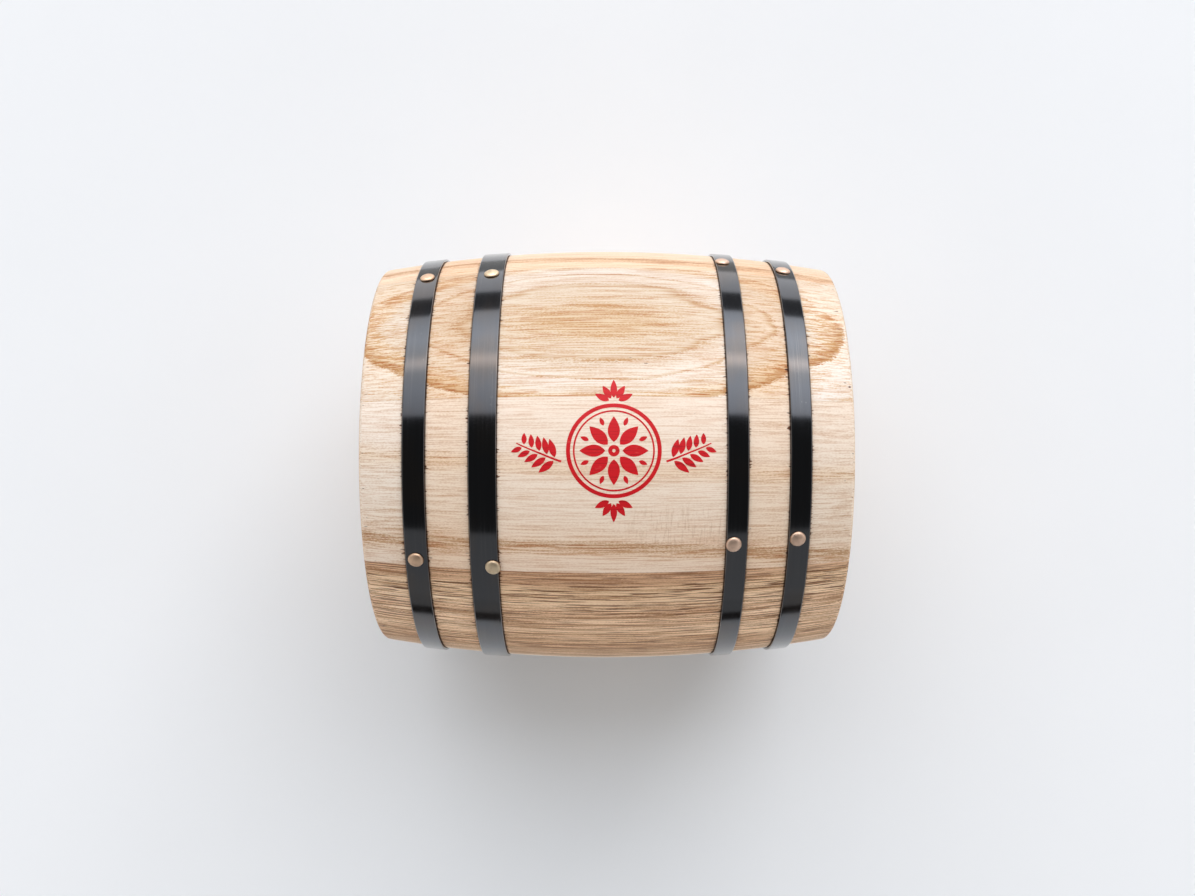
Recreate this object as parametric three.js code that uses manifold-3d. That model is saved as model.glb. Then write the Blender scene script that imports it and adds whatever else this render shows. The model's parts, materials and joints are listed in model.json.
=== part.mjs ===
// Barrel canister: a small coopered barrel that lies on its side, with a plug lid in one end.
// Sizes are in millimetres. X runs along the barrel from the base to the lid, and Z is up.
// The origin is on the ground under the middle of the barrel, which lies on its lap rivets.

import * as THREE from 'three';
import { mergeVertices } from 'three/addons/utils/BufferGeometryUtils.js';
import Module from 'manifold-3d';

const wasm = await Module();
wasm.setup();

// Barrel wall
const LENGTH = 150;
const BELLY_DIAMETER = 141;
const END_DIAMETER = 128.4;
const WALL = 10;
const RIM_ROUNDING = 1.5;
const RIM_CHAMFER = 1;
const STAVE_COUNT = 8;
const FIRST_JOINT = 14.6; // degrees from the top towards +Y
const JOINT_GAP = 0.1;

// Heads, the base at one end and the mouth ring at the other, held in a groove inside the staves
const CHIME_DEPTH = 14; // from the rim down to the base or the mouth ring
const HEAD_THICKNESS = 6;
const GROOVE_DEPTH = 3.5;
const GROOVE_FIT = 0.3;
const BASE_BOARD_COUNT = 3;
const BOARD_GAP = 0.2;
const DOWEL_DIAMETER = 3;
const DOWEL_LENGTH = 16;
const DOWEL_SPACING = 52;
const DOWEL_FIT = 0.3;

// Hoops: the setback is from the rim to the hoop's near edge
const HOOP_THICKNESS = 0.8;
const HOOP_GAP = 0.1;
const BASE_END_SETBACK = 13.5;
const BASE_END_WIDTH = 6.9;
const BASE_BELLY_SETBACK = 33.6;
const BASE_BELLY_WIDTH = 8.4;
const LID_BELLY_SETBACK = 32.7;
const LID_BELLY_WIDTH = 6.3;
const LID_END_SETBACK = 13.6;
const LID_END_WIDTH = 6.4;
const LAP_GAP = 0.1;

// Hoop nails and lap rivets
const NAIL_HEAD_DIAMETER = 4.9;
const NAIL_HEAD_HEIGHT = 1.1;
const NAIL_SHANK_DIAMETER = 1.6;
const NAIL_LENGTH = 7.5;
const NAIL_POINT = 2;
const RIVET_HEAD_DIAMETER = 5;
const RIVET_HEAD_HEIGHT = 1;
const RIVET_SHANK_DIAMETER = 1.8;
const RIVET_SPACING = 18;
const FASTENER_FIT = 0.3;
const FASTENER_SEAT_GAP = 0.05;

// Lid
const LID_THICKNESS = 5.5;
const LID_CLEARANCE = 0.8;
const LID_EDGE_ROUNDING = 1.2;
const LID_LEDGE = 7; // how far the panel reaches over the mouth ring
const SEAT_GAP = 0.1;
const PLUG_DEPTH = 11;
const PLUG_CLEARANCE = 0.6;
const PLUG_CHAMFER = 1.5;
const SEAL_WIDTH = 3.2;
const SEAL_DEPTH = 2.4;
const SEAL_FIT = 0.25;
const KNOB_DIAMETER = 27;
const KNOB_HEIGHT = 7.4;
const KNOB_EDGE = 2.4;
const KNOB_CROWN = 1.4;
const KNOB_NECK_DIAMETER = 14;
const KNOB_FOOT_DIAMETER = 18;
const KNOB_FOOT_HEIGHT = 0.8;
const KNOB_SCREW_DIAMETER = 3.5;
const KNOB_SCREW_HEAD_DIAMETER = 7;
const KNOB_SCREW_REACH = 4.5; // into the knob
const LID_SCREW_DIAMETER = 3;
const LID_SCREW_HEAD_DIAMETER = 6;
const LID_SCREW_REACH = 3.5; // into the panel
const LID_SCREW_COUNT = 3;
const LID_SCREW_INSET = 15.8; // from the edge of the plug
const SCREW_SINK = 0.2;
const SCREW_POINT = 2;

// Fineness of the round shapes
const STAVE_FACETS = 6;
const STAVE_STEP = 14;
const LAP_FACETS = 4;
const RAMP_FACETS = 2;
const FASTENER_SIDES = 10;
const SHANK_SIDES = 8;
const KNOB_SIDES = 24;

// Hoops with two nails each as [degrees from the top, offset across]; two more sit opposite
const HOOPS = [
  {
    name: 'base_end',
    end: -1,
    setback: BASE_END_SETBACK,
    width: BASE_END_WIDTH,
    nails: [[57.7, 0.2], [-28, -0.2]],
  },
  {
    name: 'base_belly',
    end: -1,
    setback: BASE_BELLY_SETBACK,
    width: BASE_BELLY_WIDTH,
    nails: [[56.4, 0.3], [-28.9, 2.6]],
  },
  {
    name: 'lid_belly',
    end: 1,
    setback: LID_BELLY_SETBACK,
    width: LID_BELLY_WIDTH,
    nails: [[65.2, -1], [-22.5, -1]],
  },
  {
    name: 'lid_end',
    end: 1,
    setback: LID_END_SETBACK,
    width: LID_END_WIDTH,
    nails: [[62.8, -0.3], [-21.8, -0.5]],
  },
];

// Finishes
const finish = (color, roughness, metalness) =>
  new THREE.MeshStandardMaterial({ color, roughness, metalness, flatShading: true });
const paleWood = finish(0xecd8bf, 0.6, 0);
const tanWood = finish(0xe6c79f, 0.6, 0);
const brownWood = finish(0xb8916c, 0.65, 0);
const headWood = finish(0xe2c8a6, 0.65, 0);
const blackSteel = finish(0x232326, 0.38, 0.9);
const copper = finish(0xb98455, 0.35, 1);
const silicone = finish(0xd9d6cf, 0.55, 0);
const screwSteel = finish(0xb9b4a8, 0.4, 1);
const staveWoods = [paleWood, brownWood, paleWood, tanWood, paleWood, tanWood, paleWood, tanWood];

// Shared measures of the barrel
const { degToRad } = THREE.MathUtils;
const half = LENGTH / 2;
const bulge = (BELLY_DIAMETER - END_DIAMETER) / 2;
const outerRadius = (x) => BELLY_DIAMETER / 2 - bulge * (x / half) ** 2;
const outerSlope = (x) => (-2 * bulge * x) / half ** 2;
const innerRadius = (x) => outerRadius(x) - WALL;
const staveAngle = 360 / STAVE_COUNT;
const facetAngle = staveAngle / STAVE_FACETS;
const barrelSides = STAVE_COUNT * STAVE_FACETS;
const headOuter = half - CHIME_DEPTH;
const headInner = headOuter - HEAD_THICKNESS;
const grooveRadius = innerRadius((headOuter + headInner) / 2) + GROOVE_DEPTH;
const headRadius = grooveRadius - GROOVE_FIT;

// Point at a distance along the axis, a radius and an angle in radians from the top towards +Y
const around = (x, radius, angle) =>
  new THREE.Vector3(x, radius * Math.sin(angle), radius * Math.cos(angle));

// Numbers from first to last in equal parts
const divided = (first, last, parts) =>
  Array.from({ length: parts + 1 }, (_, i) => first + ((last - first) * i) / parts);

// The same, with as many parts as it takes to keep each within the step
const spaced = (first, last, step) =>
  divided(first, last, Math.max(1, Math.ceil(Math.abs(last - first) / step)));

// Only positions, with shared points merged and collapsed triangles dropped
function welded(geometry) {
  geometry.deleteAttribute('normal');
  geometry.deleteAttribute('uv');
  const merged = mergeVertices(geometry);
  const corners = merged.index.array;
  const kept = [];
  for (let i = 0; i < corners.length; i += 3) {
    const [a, b, c] = corners.slice(i, i + 3);
    if (a !== b && b !== c && c !== a) kept.push(a, b, c);
  }
  merged.setIndex(kept);
  return merged;
}

// Skin over a row of outlines, each a counterclockwise ring of [x, radius] turned to its angle
function loft(outlines, angles) {
  const count = outlines[0].length;
  const positions = outlines.flatMap((outline, row) =>
    outline.flatMap(([x, radius]) => around(x, radius, angles[row]).toArray()));
  const faces = [];
  for (let row = 0; row + 1 < outlines.length; row++) {
    for (let i = 0; i < count; i++) {
      const a = row * count + i;
      const b = row * count + ((i + 1) % count);
      faces.push(a, b + count, b, a, a + count, b + count);
    }
  }
  const flat = outlines[0].map(([x, radius]) => new THREE.Vector2(x, radius));
  const last = (outlines.length - 1) * count;
  for (const [a, b, c] of THREE.ShapeUtils.triangulateShape(flat, [])) {
    faces.push(a, b, c, a + last, c + last, b + last);
  }
  const geometry = new THREE.BufferGeometry();
  geometry.setAttribute('position', new THREE.Float32BufferAttribute(positions, 3));
  geometry.setIndex(faces);
  return geometry;
}

// Solid turned about the X axis from points of [radius, x], with its facets in line with the staves
function turned(outline, sides = barrelSides) {
  const points = outline.map(([radius, x]) => new THREE.Vector2(radius, x));
  const geometry = new THREE.LatheGeometry(points, sides, -degToRad(FIRST_JOINT));
  return welded(geometry).rotateZ(-Math.PI / 2);
}

// Joins and cuts
function toSolid(geometry) {
  const vertProperties = new Float32Array(geometry.attributes.position.array);
  const triVerts = new Uint32Array(geometry.index.array);
  return new wasm.Manifold(new wasm.Mesh({ numProp: 3, vertProperties, triVerts }));
}

function toGeometry(solid) {
  const mesh = solid.getMesh();
  const geometry = new THREE.BufferGeometry();
  geometry.setAttribute('position', new THREE.BufferAttribute(mesh.vertProperties, 3));
  geometry.setIndex(new THREE.BufferAttribute(mesh.triVerts, 1));
  return geometry;
}

const joined = (geometries) => geometries.map(toSolid).reduce((sum, solid) => sum.add(solid));
const drilled = (geometry, holes) => toGeometry(toSolid(geometry).subtract(holes));

// Assembly
const canister = new THREE.Group();
const barrel = new THREE.Group();
const lid = new THREE.Group();
canister.add(barrel, lid);

function addPiece(group, name, geometry, material) {
  const piece = new THREE.Mesh(geometry, material);
  piece.name = name;
  group.add(piece);
  return piece;
}

// Hoop places, and where each nail and rivet stands on its hoop
function hoopEdges({ end, setback, width }) {
  const rimSide = end * (half - setback);
  return [rimSide, rimSide - end * width].sort((a, b) => a - b);
}

const hoopMiddle = (hoop) => hoopEdges(hoop).reduce((a, b) => a + b) / 2;
const hoopFace = (x) => outerRadius(x) + HOOP_GAP + HOOP_THICKNESS;
const lapLift = HOOP_THICKNESS + LAP_GAP;

// Place on a hoop, with the Y axis of what stands there pointing straight out of the metal
function standing(x, radius, angle) {
  const outward = around(-outerSlope(x), 1, angle).normalize();
  const turn = new THREE.Quaternion().setFromUnitVectors(THREE.Object3D.DEFAULT_UP, outward);
  return new THREE.Matrix4().compose(around(x, radius, angle), turn, new THREE.Vector3(1, 1, 1));
}

function nailPlaces(hoop) {
  const opposite = hoop.nails.map(([angle, across]) => [angle + 180, across]);
  return [...hoop.nails, ...opposite].map(([angle, across]) => {
    const x = hoopMiddle(hoop) + across;
    return standing(x, hoopFace(x) + FASTENER_SEAT_GAP, degToRad(angle));
  });
}

function rivetPlaces(hoop) {
  const x = hoopMiddle(hoop);
  const radius = hoopFace(x) + lapLift + FASTENER_SEAT_GAP;
  const spread = RIVET_SPACING / 2 / radius;
  return [-spread, spread].map((offset) => standing(x, radius, Math.PI + offset));
}

// Hole for a shank, from a little above the seat down to its depth
function shankHole(place, diameter, depth) {
  const radius = diameter / 2 + FASTENER_FIT;
  const above = HOOP_THICKNESS;
  const hole = new THREE.CylinderGeometry(radius, radius, depth + above, SHANK_SIDES);
  return welded(hole.translate(0, (above - depth) / 2, 0)).applyMatrix4(place);
}

const nailHoles = joined(HOOPS.flatMap(nailPlaces)
  .map((place) => shankHole(place, NAIL_SHANK_DIAMETER, NAIL_LENGTH + FASTENER_FIT)));
const rivetHoles = joined(HOOPS.flatMap(rivetPlaces)
  .map((place) => shankHole(place, RIVET_SHANK_DIAMETER, lapLift + HOOP_THICKNESS + HOOP_GAP)));

// Staves: a rounded rim, the bulge outside, and inside the bulge again with a groove near each end
function staveOutline() {
  const rimStart = half - RIM_ROUNDING;
  const marks = [-rimStart, ...HOOPS.flatMap(hoopEdges), rimStart].sort((a, b) => a - b);
  const outside = marks.slice(1)
    .flatMap((mark, i) => spaced(marks[i], mark, STAVE_STEP).slice(1))
    .map((x) => [x, outerRadius(x)]);
  const cornerRadius = outerRadius(rimStart) - RIM_ROUNDING;
  const corner = RIM_ROUNDING * Math.SQRT1_2;
  const rim = [
    [rimStart + corner, cornerRadius + corner],
    [half, cornerRadius],
    [half, innerRadius(half) + RIM_CHAMFER],
    [half - RIM_CHAMFER, innerRadius(half - RIM_CHAMFER)],
  ];
  const grooveOuter = headOuter + GROOVE_FIT;
  const grooveInner = headInner - GROOVE_FIT;
  const groove = [
    [grooveOuter, innerRadius(grooveOuter)],
    [grooveOuter, grooveRadius],
    [grooveInner, grooveRadius],
    [grooveInner, innerRadius(grooveInner)],
  ];
  const inside = spaced(grooveInner, -grooveInner, STAVE_STEP)
    .slice(1, -1)
    .map((x) => [x, innerRadius(x)]);
  const lidEnd = [...rim, ...groove];
  const baseEnd = lidEnd.map(([x, radius]) => [-x, radius]).reverse();
  const start = [-rimStart, outerRadius(rimStart)];
  return [start, ...outside, ...lidEnd, ...inside, ...baseEnd].reverse();
}

const outline = staveOutline();
const jointHalfAngle = JOINT_GAP / BELLY_DIAMETER;
for (let i = 0; i < STAVE_COUNT; i++) {
  const upper = degToRad(FIRST_JOINT - staveAngle * i) - jointHalfAngle;
  const lower = degToRad(FIRST_JOINT - staveAngle * (i + 1)) + jointHalfAngle;
  const angles = divided(lower, upper, STAVE_FACETS);
  const stave = loft(angles.map(() => outline), angles);
  addPiece(barrel, `stave_${i + 1}`, drilled(stave, nailHoles), staveWoods[i % staveWoods.length]);
}

// Hoops: one strip round the barrel, whose end rises over its start at the underside
const lapStart = FIRST_JOINT
  + facetAngle * Math.round((180 - FIRST_JOINT) / facetAngle - LAP_FACETS / 2);
const fastenerHoles = nailHoles.add(rivetHoles);
for (const hoop of HOOPS) {
  const [low, high] = hoopEdges(hoop);
  const outlines = [];
  const angles = [];
  for (let row = 0; row <= barrelSides + LAP_FACETS; row++) {
    const climb = THREE.MathUtils.clamp((LAP_FACETS + RAMP_FACETS - row) / RAMP_FACETS, 0, 1);
    const inner = (x) => outerRadius(x) + HOOP_GAP + lapLift * climb;
    outlines.push([
      [low, inner(low)],
      [high, inner(high)],
      [high, inner(high) + HOOP_THICKNESS],
      [low, inner(low) + HOOP_THICKNESS],
    ]);
    angles.push(degToRad(lapStart - 360 + facetAngle * row));
  }
  const strip = loft(outlines, angles);
  addPiece(barrel, `${hoop.name}_hoop`, drilled(strip, fastenerHoles), blackSteel);
}

// Hoop nails and lap rivets, both with a domed head
function uprightTurned(outline) {
  const points = outline.map(([radius, y]) => new THREE.Vector2(radius, y));
  return welded(new THREE.LatheGeometry(points, FASTENER_SIDES));
}

// Outline of a domed head from its edge to its top
const domed = (radius, height) => [
  [radius, 0],
  [radius * Math.cos(Math.PI / 6), height / 2],
  [radius / 2, height * Math.sin(Math.PI / 3)],
  [0, height],
];

const nailRadius = NAIL_SHANK_DIAMETER / 2;
const nail = uprightTurned([
  [0, -NAIL_LENGTH],
  [nailRadius, NAIL_POINT - NAIL_LENGTH],
  [nailRadius, 0],
  ...domed(NAIL_HEAD_DIAMETER / 2, NAIL_HEAD_HEIGHT),
]);

const rivetRadius = RIVET_SHANK_DIAMETER / 2;
const rivetGrip = lapLift + HOOP_THICKNESS;
const rivet = uprightTurned([
  [0, -rivetGrip],
  [rivetRadius, -rivetGrip],
  [rivetRadius, 0],
  ...domed(RIVET_HEAD_DIAMETER / 2, RIVET_HEAD_HEIGHT),
]);

for (const hoop of HOOPS) {
  nailPlaces(hoop).forEach((place, i) => {
    addPiece(barrel, `${hoop.name}_nail_${i + 1}`, nail, copper).applyMatrix4(place);
  });
  rivetPlaces(hoop).forEach((place, i) => {
    addPiece(barrel, `${hoop.name}_rivet_${i + 1}`, rivet, blackSteel).applyMatrix4(place);
  });
}

// Base: a round head sawn from boards that are pinned edge to edge with dowels
const boardPitch = (2 * headRadius) / BASE_BOARD_COUNT;
const baseMiddle = -(headOuter + headInner) / 2;
const baseDisc = toSolid(turned([
  [0, -headOuter],
  [headRadius, -headOuter],
  [headRadius, -headInner],
  [0, -headInner],
]));

const dowelPlaces = [];
for (let joint = 1; joint < BASE_BOARD_COUNT; joint++) {
  const z = boardPitch * joint - headRadius;
  dowelPlaces.push([-DOWEL_SPACING / 2, z], [DOWEL_SPACING / 2, z]);
}

function dowel(y, z, clearance) {
  const radius = DOWEL_DIAMETER / 2 + clearance;
  const pin = new THREE.CylinderGeometry(radius, radius, DOWEL_LENGTH + 2 * clearance, FASTENER_SIDES);
  return welded(pin).rotateX(Math.PI / 2).translate(baseMiddle, y, z);
}

const dowelHoles = joined(dowelPlaces.map(([y, z]) => dowel(y, z, DOWEL_FIT)));
for (let i = 0; i < BASE_BOARD_COUNT; i++) {
  const slab = new THREE.BoxGeometry(2 * HEAD_THICKNESS, 3 * headRadius, boardPitch - BOARD_GAP);
  slab.translate(baseMiddle, 0, boardPitch * (i + 0.5) - headRadius);
  const board = baseDisc.intersect(toSolid(welded(slab))).subtract(dowelHoles);
  addPiece(barrel, `base_board_${i + 1}`, toGeometry(board), headWood);
}
dowelPlaces.forEach(([y, z], i) => {
  addPiece(barrel, `base_dowel_${i + 1}`, dowel(y, z, 0), paleWood);
});

// Lid measures, from the rim that the panel passes through and the mouth ring that it lies on
const rimRadius = Math.min(innerRadius(half), innerRadius(headOuter));
const panelRadius = rimRadius - LID_CLEARANCE;
const mouthRadius = panelRadius - LID_LEDGE;
const plugRadius = mouthRadius - PLUG_CLEARANCE;
const panelInner = headOuter + SEAT_GAP;
const panelOuter = panelInner + LID_THICKNESS;
const plugOuter = panelInner - SEAT_GAP;
const plugInner = plugOuter - PLUG_DEPTH;
const knobFoot = panelOuter + SEAT_GAP;

addPiece(barrel, 'mouth_ring', turned([
  [mouthRadius, headInner],
  [headRadius, headInner],
  [headRadius, headOuter],
  [mouthRadius, headOuter],
  [mouthRadius, headInner],
]), headWood);

// Countersunk screw that points along +X, or with a clearance the hole that it sits in
function screw(start, length, diameter, headDiameter, clearance) {
  const shank = diameter / 2 + clearance;
  const crown = headDiameter / 2 + clearance;
  const crownEnd = start + SCREW_SINK + clearance;
  const tip = start + length + clearance;
  return turned([
    [0, start - clearance],
    [crown, start - clearance],
    [crown, crownEnd],
    [shank, crownEnd + crown - shank],
    [shank, tip - SCREW_POINT],
    [0, tip],
  ], SHANK_SIDES);
}

const lidScrewTurns = divided(0, 2 * Math.PI, LID_SCREW_COUNT).slice(0, -1);
const lidScrewPlaces = lidScrewTurns.map((turn) => around(0, plugRadius - LID_SCREW_INSET, turn));
const screwStart = plugInner + SCREW_SINK;
const lidScrewLength = panelInner - screwStart + LID_SCREW_REACH;
const knobScrewLength = knobFoot - screwStart + KNOB_SCREW_REACH;
const lidScrew = (place, clearance) =>
  screw(screwStart, lidScrewLength, LID_SCREW_DIAMETER, LID_SCREW_HEAD_DIAMETER, clearance)
    .translate(0, place.y, place.z);
const knobScrew = (clearance) =>
  screw(screwStart, knobScrewLength, KNOB_SCREW_DIAMETER, KNOB_SCREW_HEAD_DIAMETER, clearance);
const screwHoles = joined([
  knobScrew(FASTENER_FIT),
  ...lidScrewPlaces.map((place) => lidScrew(place, FASTENER_FIT)),
]);

// Lid panel with a softened outer edge
const panel = turned([
  [0, panelInner],
  [panelRadius, panelInner],
  [panelRadius, panelOuter - LID_EDGE_ROUNDING],
  [panelRadius - LID_EDGE_ROUNDING, panelOuter],
  [0, panelOuter],
]);
addPiece(lid, 'lid_panel', drilled(panel, screwHoles), headWood);

// Lid plug with a groove for the seal
const sealMiddle = (headOuter + headInner) / 2;
const grooveHalf = SEAL_WIDTH / 2 + SEAL_FIT;
const sealOuterRadius = mouthRadius - SEAL_FIT;
const sealInnerRadius = sealOuterRadius - SEAL_DEPTH;
const plug = turned([
  [0, plugInner],
  [plugRadius - PLUG_CHAMFER, plugInner],
  [plugRadius, plugInner + PLUG_CHAMFER],
  [plugRadius, sealMiddle - grooveHalf],
  [sealInnerRadius - SEAL_FIT, sealMiddle - grooveHalf],
  [sealInnerRadius - SEAL_FIT, sealMiddle + grooveHalf],
  [plugRadius, sealMiddle + grooveHalf],
  [plugRadius, plugOuter],
  [0, plugOuter],
]);
addPiece(lid, 'lid_plug', drilled(plug, screwHoles), headWood);

addPiece(lid, 'lid_seal', turned([
  [sealInnerRadius, sealMiddle - SEAL_WIDTH / 2],
  [plugRadius, sealMiddle - SEAL_WIDTH / 2],
  [sealOuterRadius, sealMiddle],
  [plugRadius, sealMiddle + SEAL_WIDTH / 2],
  [sealInnerRadius, sealMiddle + SEAL_WIDTH / 2],
  [sealInnerRadius, sealMiddle - SEAL_WIDTH / 2],
]), silicone);

// Knob: a foot, a neck to hook the fingers under, and a wide crowned top
const knobTop = knobFoot + KNOB_HEIGHT;
const knob = turned([
  [0, knobFoot],
  [KNOB_FOOT_DIAMETER / 2, knobFoot],
  [KNOB_FOOT_DIAMETER / 2, knobFoot + KNOB_FOOT_HEIGHT],
  [KNOB_NECK_DIAMETER / 2, knobFoot + 2 * KNOB_FOOT_HEIGHT],
  [KNOB_NECK_DIAMETER / 2, knobTop - KNOB_CROWN - KNOB_EDGE],
  [KNOB_DIAMETER / 2, knobTop - KNOB_CROWN - KNOB_EDGE / 2],
  [KNOB_DIAMETER / 2, knobTop - KNOB_CROWN],
  [KNOB_DIAMETER / 2 - KNOB_EDGE, knobTop - KNOB_CROWN / 2],
  [0, knobTop],
], KNOB_SIDES);
addPiece(lid, 'lid_knob', drilled(knob, screwHoles), tanWood);

// Screws, driven from inside the lid
addPiece(lid, 'knob_screw', knobScrew(0), screwSteel);
lidScrewPlaces.forEach((place, i) => {
  addPiece(lid, `lid_screw_${i + 1}`, lidScrew(place, 0), screwSteel);
});

// Set the barrel down on the ground
canister.position.z = -new THREE.Box3().setFromObject(canister, true).min.z;

export default canister;
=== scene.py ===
# %% [markdown]
# # Barrel canister
# A small coopered barrel lies on its side: eight staves, four steel hoops held by copper nails,
# a base of three boards at one end and a plug lid at the other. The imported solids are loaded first,
# as a fixed frame in metres. Each piece made below takes its place from that frame, hides the plain
# solid that it stands for, and moves with the same body.

# %% Load the frame
import json
import math
import random

import bmesh
import bpy
import numpy as np
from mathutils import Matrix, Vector

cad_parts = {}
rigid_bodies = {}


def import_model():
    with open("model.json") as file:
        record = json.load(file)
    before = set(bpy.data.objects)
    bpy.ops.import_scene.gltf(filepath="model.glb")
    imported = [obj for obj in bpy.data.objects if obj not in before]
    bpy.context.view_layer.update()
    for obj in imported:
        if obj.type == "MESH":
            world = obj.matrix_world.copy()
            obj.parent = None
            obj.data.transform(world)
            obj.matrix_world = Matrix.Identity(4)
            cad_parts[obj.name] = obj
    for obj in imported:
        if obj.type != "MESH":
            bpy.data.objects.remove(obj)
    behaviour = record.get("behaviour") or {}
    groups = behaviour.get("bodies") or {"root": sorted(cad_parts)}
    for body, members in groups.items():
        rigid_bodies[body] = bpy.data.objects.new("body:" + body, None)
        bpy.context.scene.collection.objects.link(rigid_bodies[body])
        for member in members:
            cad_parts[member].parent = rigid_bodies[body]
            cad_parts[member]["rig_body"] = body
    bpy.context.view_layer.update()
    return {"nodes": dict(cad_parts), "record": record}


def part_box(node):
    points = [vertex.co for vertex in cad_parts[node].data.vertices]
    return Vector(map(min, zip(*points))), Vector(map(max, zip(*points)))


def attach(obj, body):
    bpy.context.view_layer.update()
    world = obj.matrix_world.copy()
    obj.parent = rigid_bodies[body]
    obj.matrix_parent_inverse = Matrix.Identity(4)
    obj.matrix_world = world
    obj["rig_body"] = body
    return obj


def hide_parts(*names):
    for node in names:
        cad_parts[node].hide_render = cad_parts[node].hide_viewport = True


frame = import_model()

MM = 0.001

# %% [markdown]
# A barrel is a body of revolution, so its outer face has one radius for each distance along the axis.
# The bulge could be typed in again, but it is safer to measure it: the outer corners of one stave all
# lie on a parabola, and a straight-line fit against the square of the distance finds it.

# %% The barrel's curve
BULGE_REACH = 6.5 * MM  # deeper than the bulge, shallower than the nail holes
RIM_ROUNDING = 1.5 * MM
CLEAR_OF_RIM = 0.1 * MM

ring_low, ring_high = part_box("mouth_ring")
axis_height = (ring_low.z + ring_high.z) / 2
half_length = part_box("stave_1")[1].x


def solid_points(node):
    """Corners of a solid, measured from the barrel's axis."""
    corners = np.array([corner.co for corner in frame["nodes"][node].data.vertices])
    return corners - (0, 0, axis_height)


stave_points = solid_points("stave_1")
stave_radii = np.hypot(stave_points[:, 1], stave_points[:, 2])
is_outside = stave_radii > stave_radii.max() - BULGE_REACH
is_outside &= np.abs(stave_points[:, 0]) < half_length - RIM_ROUNDING - CLEAR_OF_RIM
swell, belly_radius = np.polyfit(stave_points[is_outside, 0] ** 2, stave_radii[is_outside], 1)


def wall_radius(x):
    """Outer radius of the staves."""
    return belly_radius + swell * x * x


print(f"belly radius {belly_radius / MM:.2f} mm, end radius {wall_radius(half_length) / MM:.2f} mm")

# %% [markdown]
# The camera looks straight down, so it needs no rotation. The picture is 1195 by 896 pixels, and one
# pixel covers a known length at the depth of the barrel's axis. That length and the camera's rise
# above the axis give the lens, and the barrel's pixel in the picture gives the camera's place.

# %% Camera
PICTURE_WIDTH, PICTURE_HEIGHT = 1195, 896
BARREL_PIXEL = (605.6, 454.5)
PIXEL_AT_AXIS = 0.35236 * MM
CAMERA_RISE = 443 * MM
SENSOR_WIDTH = 36
NEAREST_SEEN = 0.01


def placed(name, data):
    """New object in the scene."""
    thing = bpy.data.objects.new(name, data)
    bpy.context.scene.collection.objects.link(thing)
    return thing


camera_data = bpy.data.cameras.new("photo_camera")
camera_data.sensor_width = SENSOR_WIDTH
camera_data.lens = SENSOR_WIDTH * CAMERA_RISE / (PICTURE_WIDTH * PIXEL_AT_AXIS)
camera_data.clip_start = NEAREST_SEEN
camera = placed("photo_camera", camera_data)
camera.location = (
    (PICTURE_WIDTH / 2 - BARREL_PIXEL[0]) * PIXEL_AT_AXIS,
    (BARREL_PIXEL[1] - PICTURE_HEIGHT / 2) * PIXEL_AT_AXIS,
    axis_height + CAMERA_RISE,
)
bpy.context.scene.camera = camera
bpy.context.scene.view_settings.view_transform = "Standard"
print(f"lens {camera_data.lens:.2f} mm")

# %% [markdown]
# Materials are built from nodes, and every node has sockets that are either linked to another node or
# hold a plain value. One helper covers both cases. Because a linked socket knows its own node tree, the
# other helpers find the tree by themselves, and a recipe reads almost like a sum. Colours are written
# as the 0 to 255 values of a picture and turned into the linear values that a shader works with.

# %% Helpers for nodes


def paint(red, green, blue):
    """Linear colour from picture values."""
    shares = [value / 255 for value in (red, green, blue)]
    linear = [s / 12.92 if s <= 0.04045 else ((s + 0.055) / 1.055) ** 2.4 for s in shares]
    return (*linear, 1.0)


def feed(socket, value):
    """Link an input to an output, or set it to a plain value."""
    if isinstance(value, bpy.types.NodeSocket):
        socket.id_data.links.new(value, socket)
    else:
        socket.default_value = value


def add(kind, *values, **settings):
    """Add a node beside the outputs that feed it, fill its inputs in order and return its first output."""
    tree = next(value.id_data for value in values if isinstance(value, bpy.types.NodeSocket))
    made = tree.nodes.new("ShaderNode" + kind)
    for key, value in settings.items():
        setattr(made, key, value)
    for socket, value in zip(made.inputs, values):
        if value is not None:
            feed(socket, value)
    return made.outputs[0]


print("node helpers ready")

# %% [markdown]
# Most of a finish is noise, and colours that are laid over each other by it. Image textures could do the
# same for one view, but noise in space has no seams and looks right from every side. Two helpers wrap
# the nodes for that.

# %% Helpers for noise and colour


def noise(place, stretch, detail, shift=(0, 0, 0)):
    """Soft noise, with so many features to a unit of each axis."""
    spread = add("VectorMath", place, stretch, shift, operation="MULTIPLY_ADD")
    return add("TexNoise", spread, None, 1.0, detail)


def mixed(share, under, over, blend="MIX"):
    """Colour over another by a share."""
    unused = [None] * 5
    return add("Mix", share, *unused, under, over, data_type="RGBA", blend_type=blend).node.outputs[2]


print("noise and colour helpers ready")

# %% [markdown]
# Every finish on the canister uses Blender's all-round shader, Principled BSDF, which does wood, steel,
# copper and silicone alike. A recipe starts with a new material, reads its coordinates and ends by
# feeding the shader.

# %% Helpers for materials


def new_finish(name):
    material = bpy.data.materials.new(name)
    material.use_nodes = True
    return material


def coordinates(owner, kind="Object"):
    """Coordinates on a material's surface or in the world's sky."""
    return owner.node_tree.nodes.new("ShaderNodeTexCoord").outputs[kind]


def finished(material, **values):
    """Feed the inputs of a material's shader, named with _ for a space."""
    shader = material.node_tree.nodes["Principled BSDF"]
    for key, value in values.items():
        feed(shader.inputs[key.replace("_", " ")], value)
    return material


print("material helpers ready")

# %% [markdown]
# The floor is plain and pale. One large disc is enough, with a very faint mottle so that it doesn't
# look like flat paint. It isn't part of the canister.

# %% Floor
FLOOR_RADIUS = 6.0
FLOOR_SIDES = 96
MOTTLE = (9, 9, 9)  # spots to a metre


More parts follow.
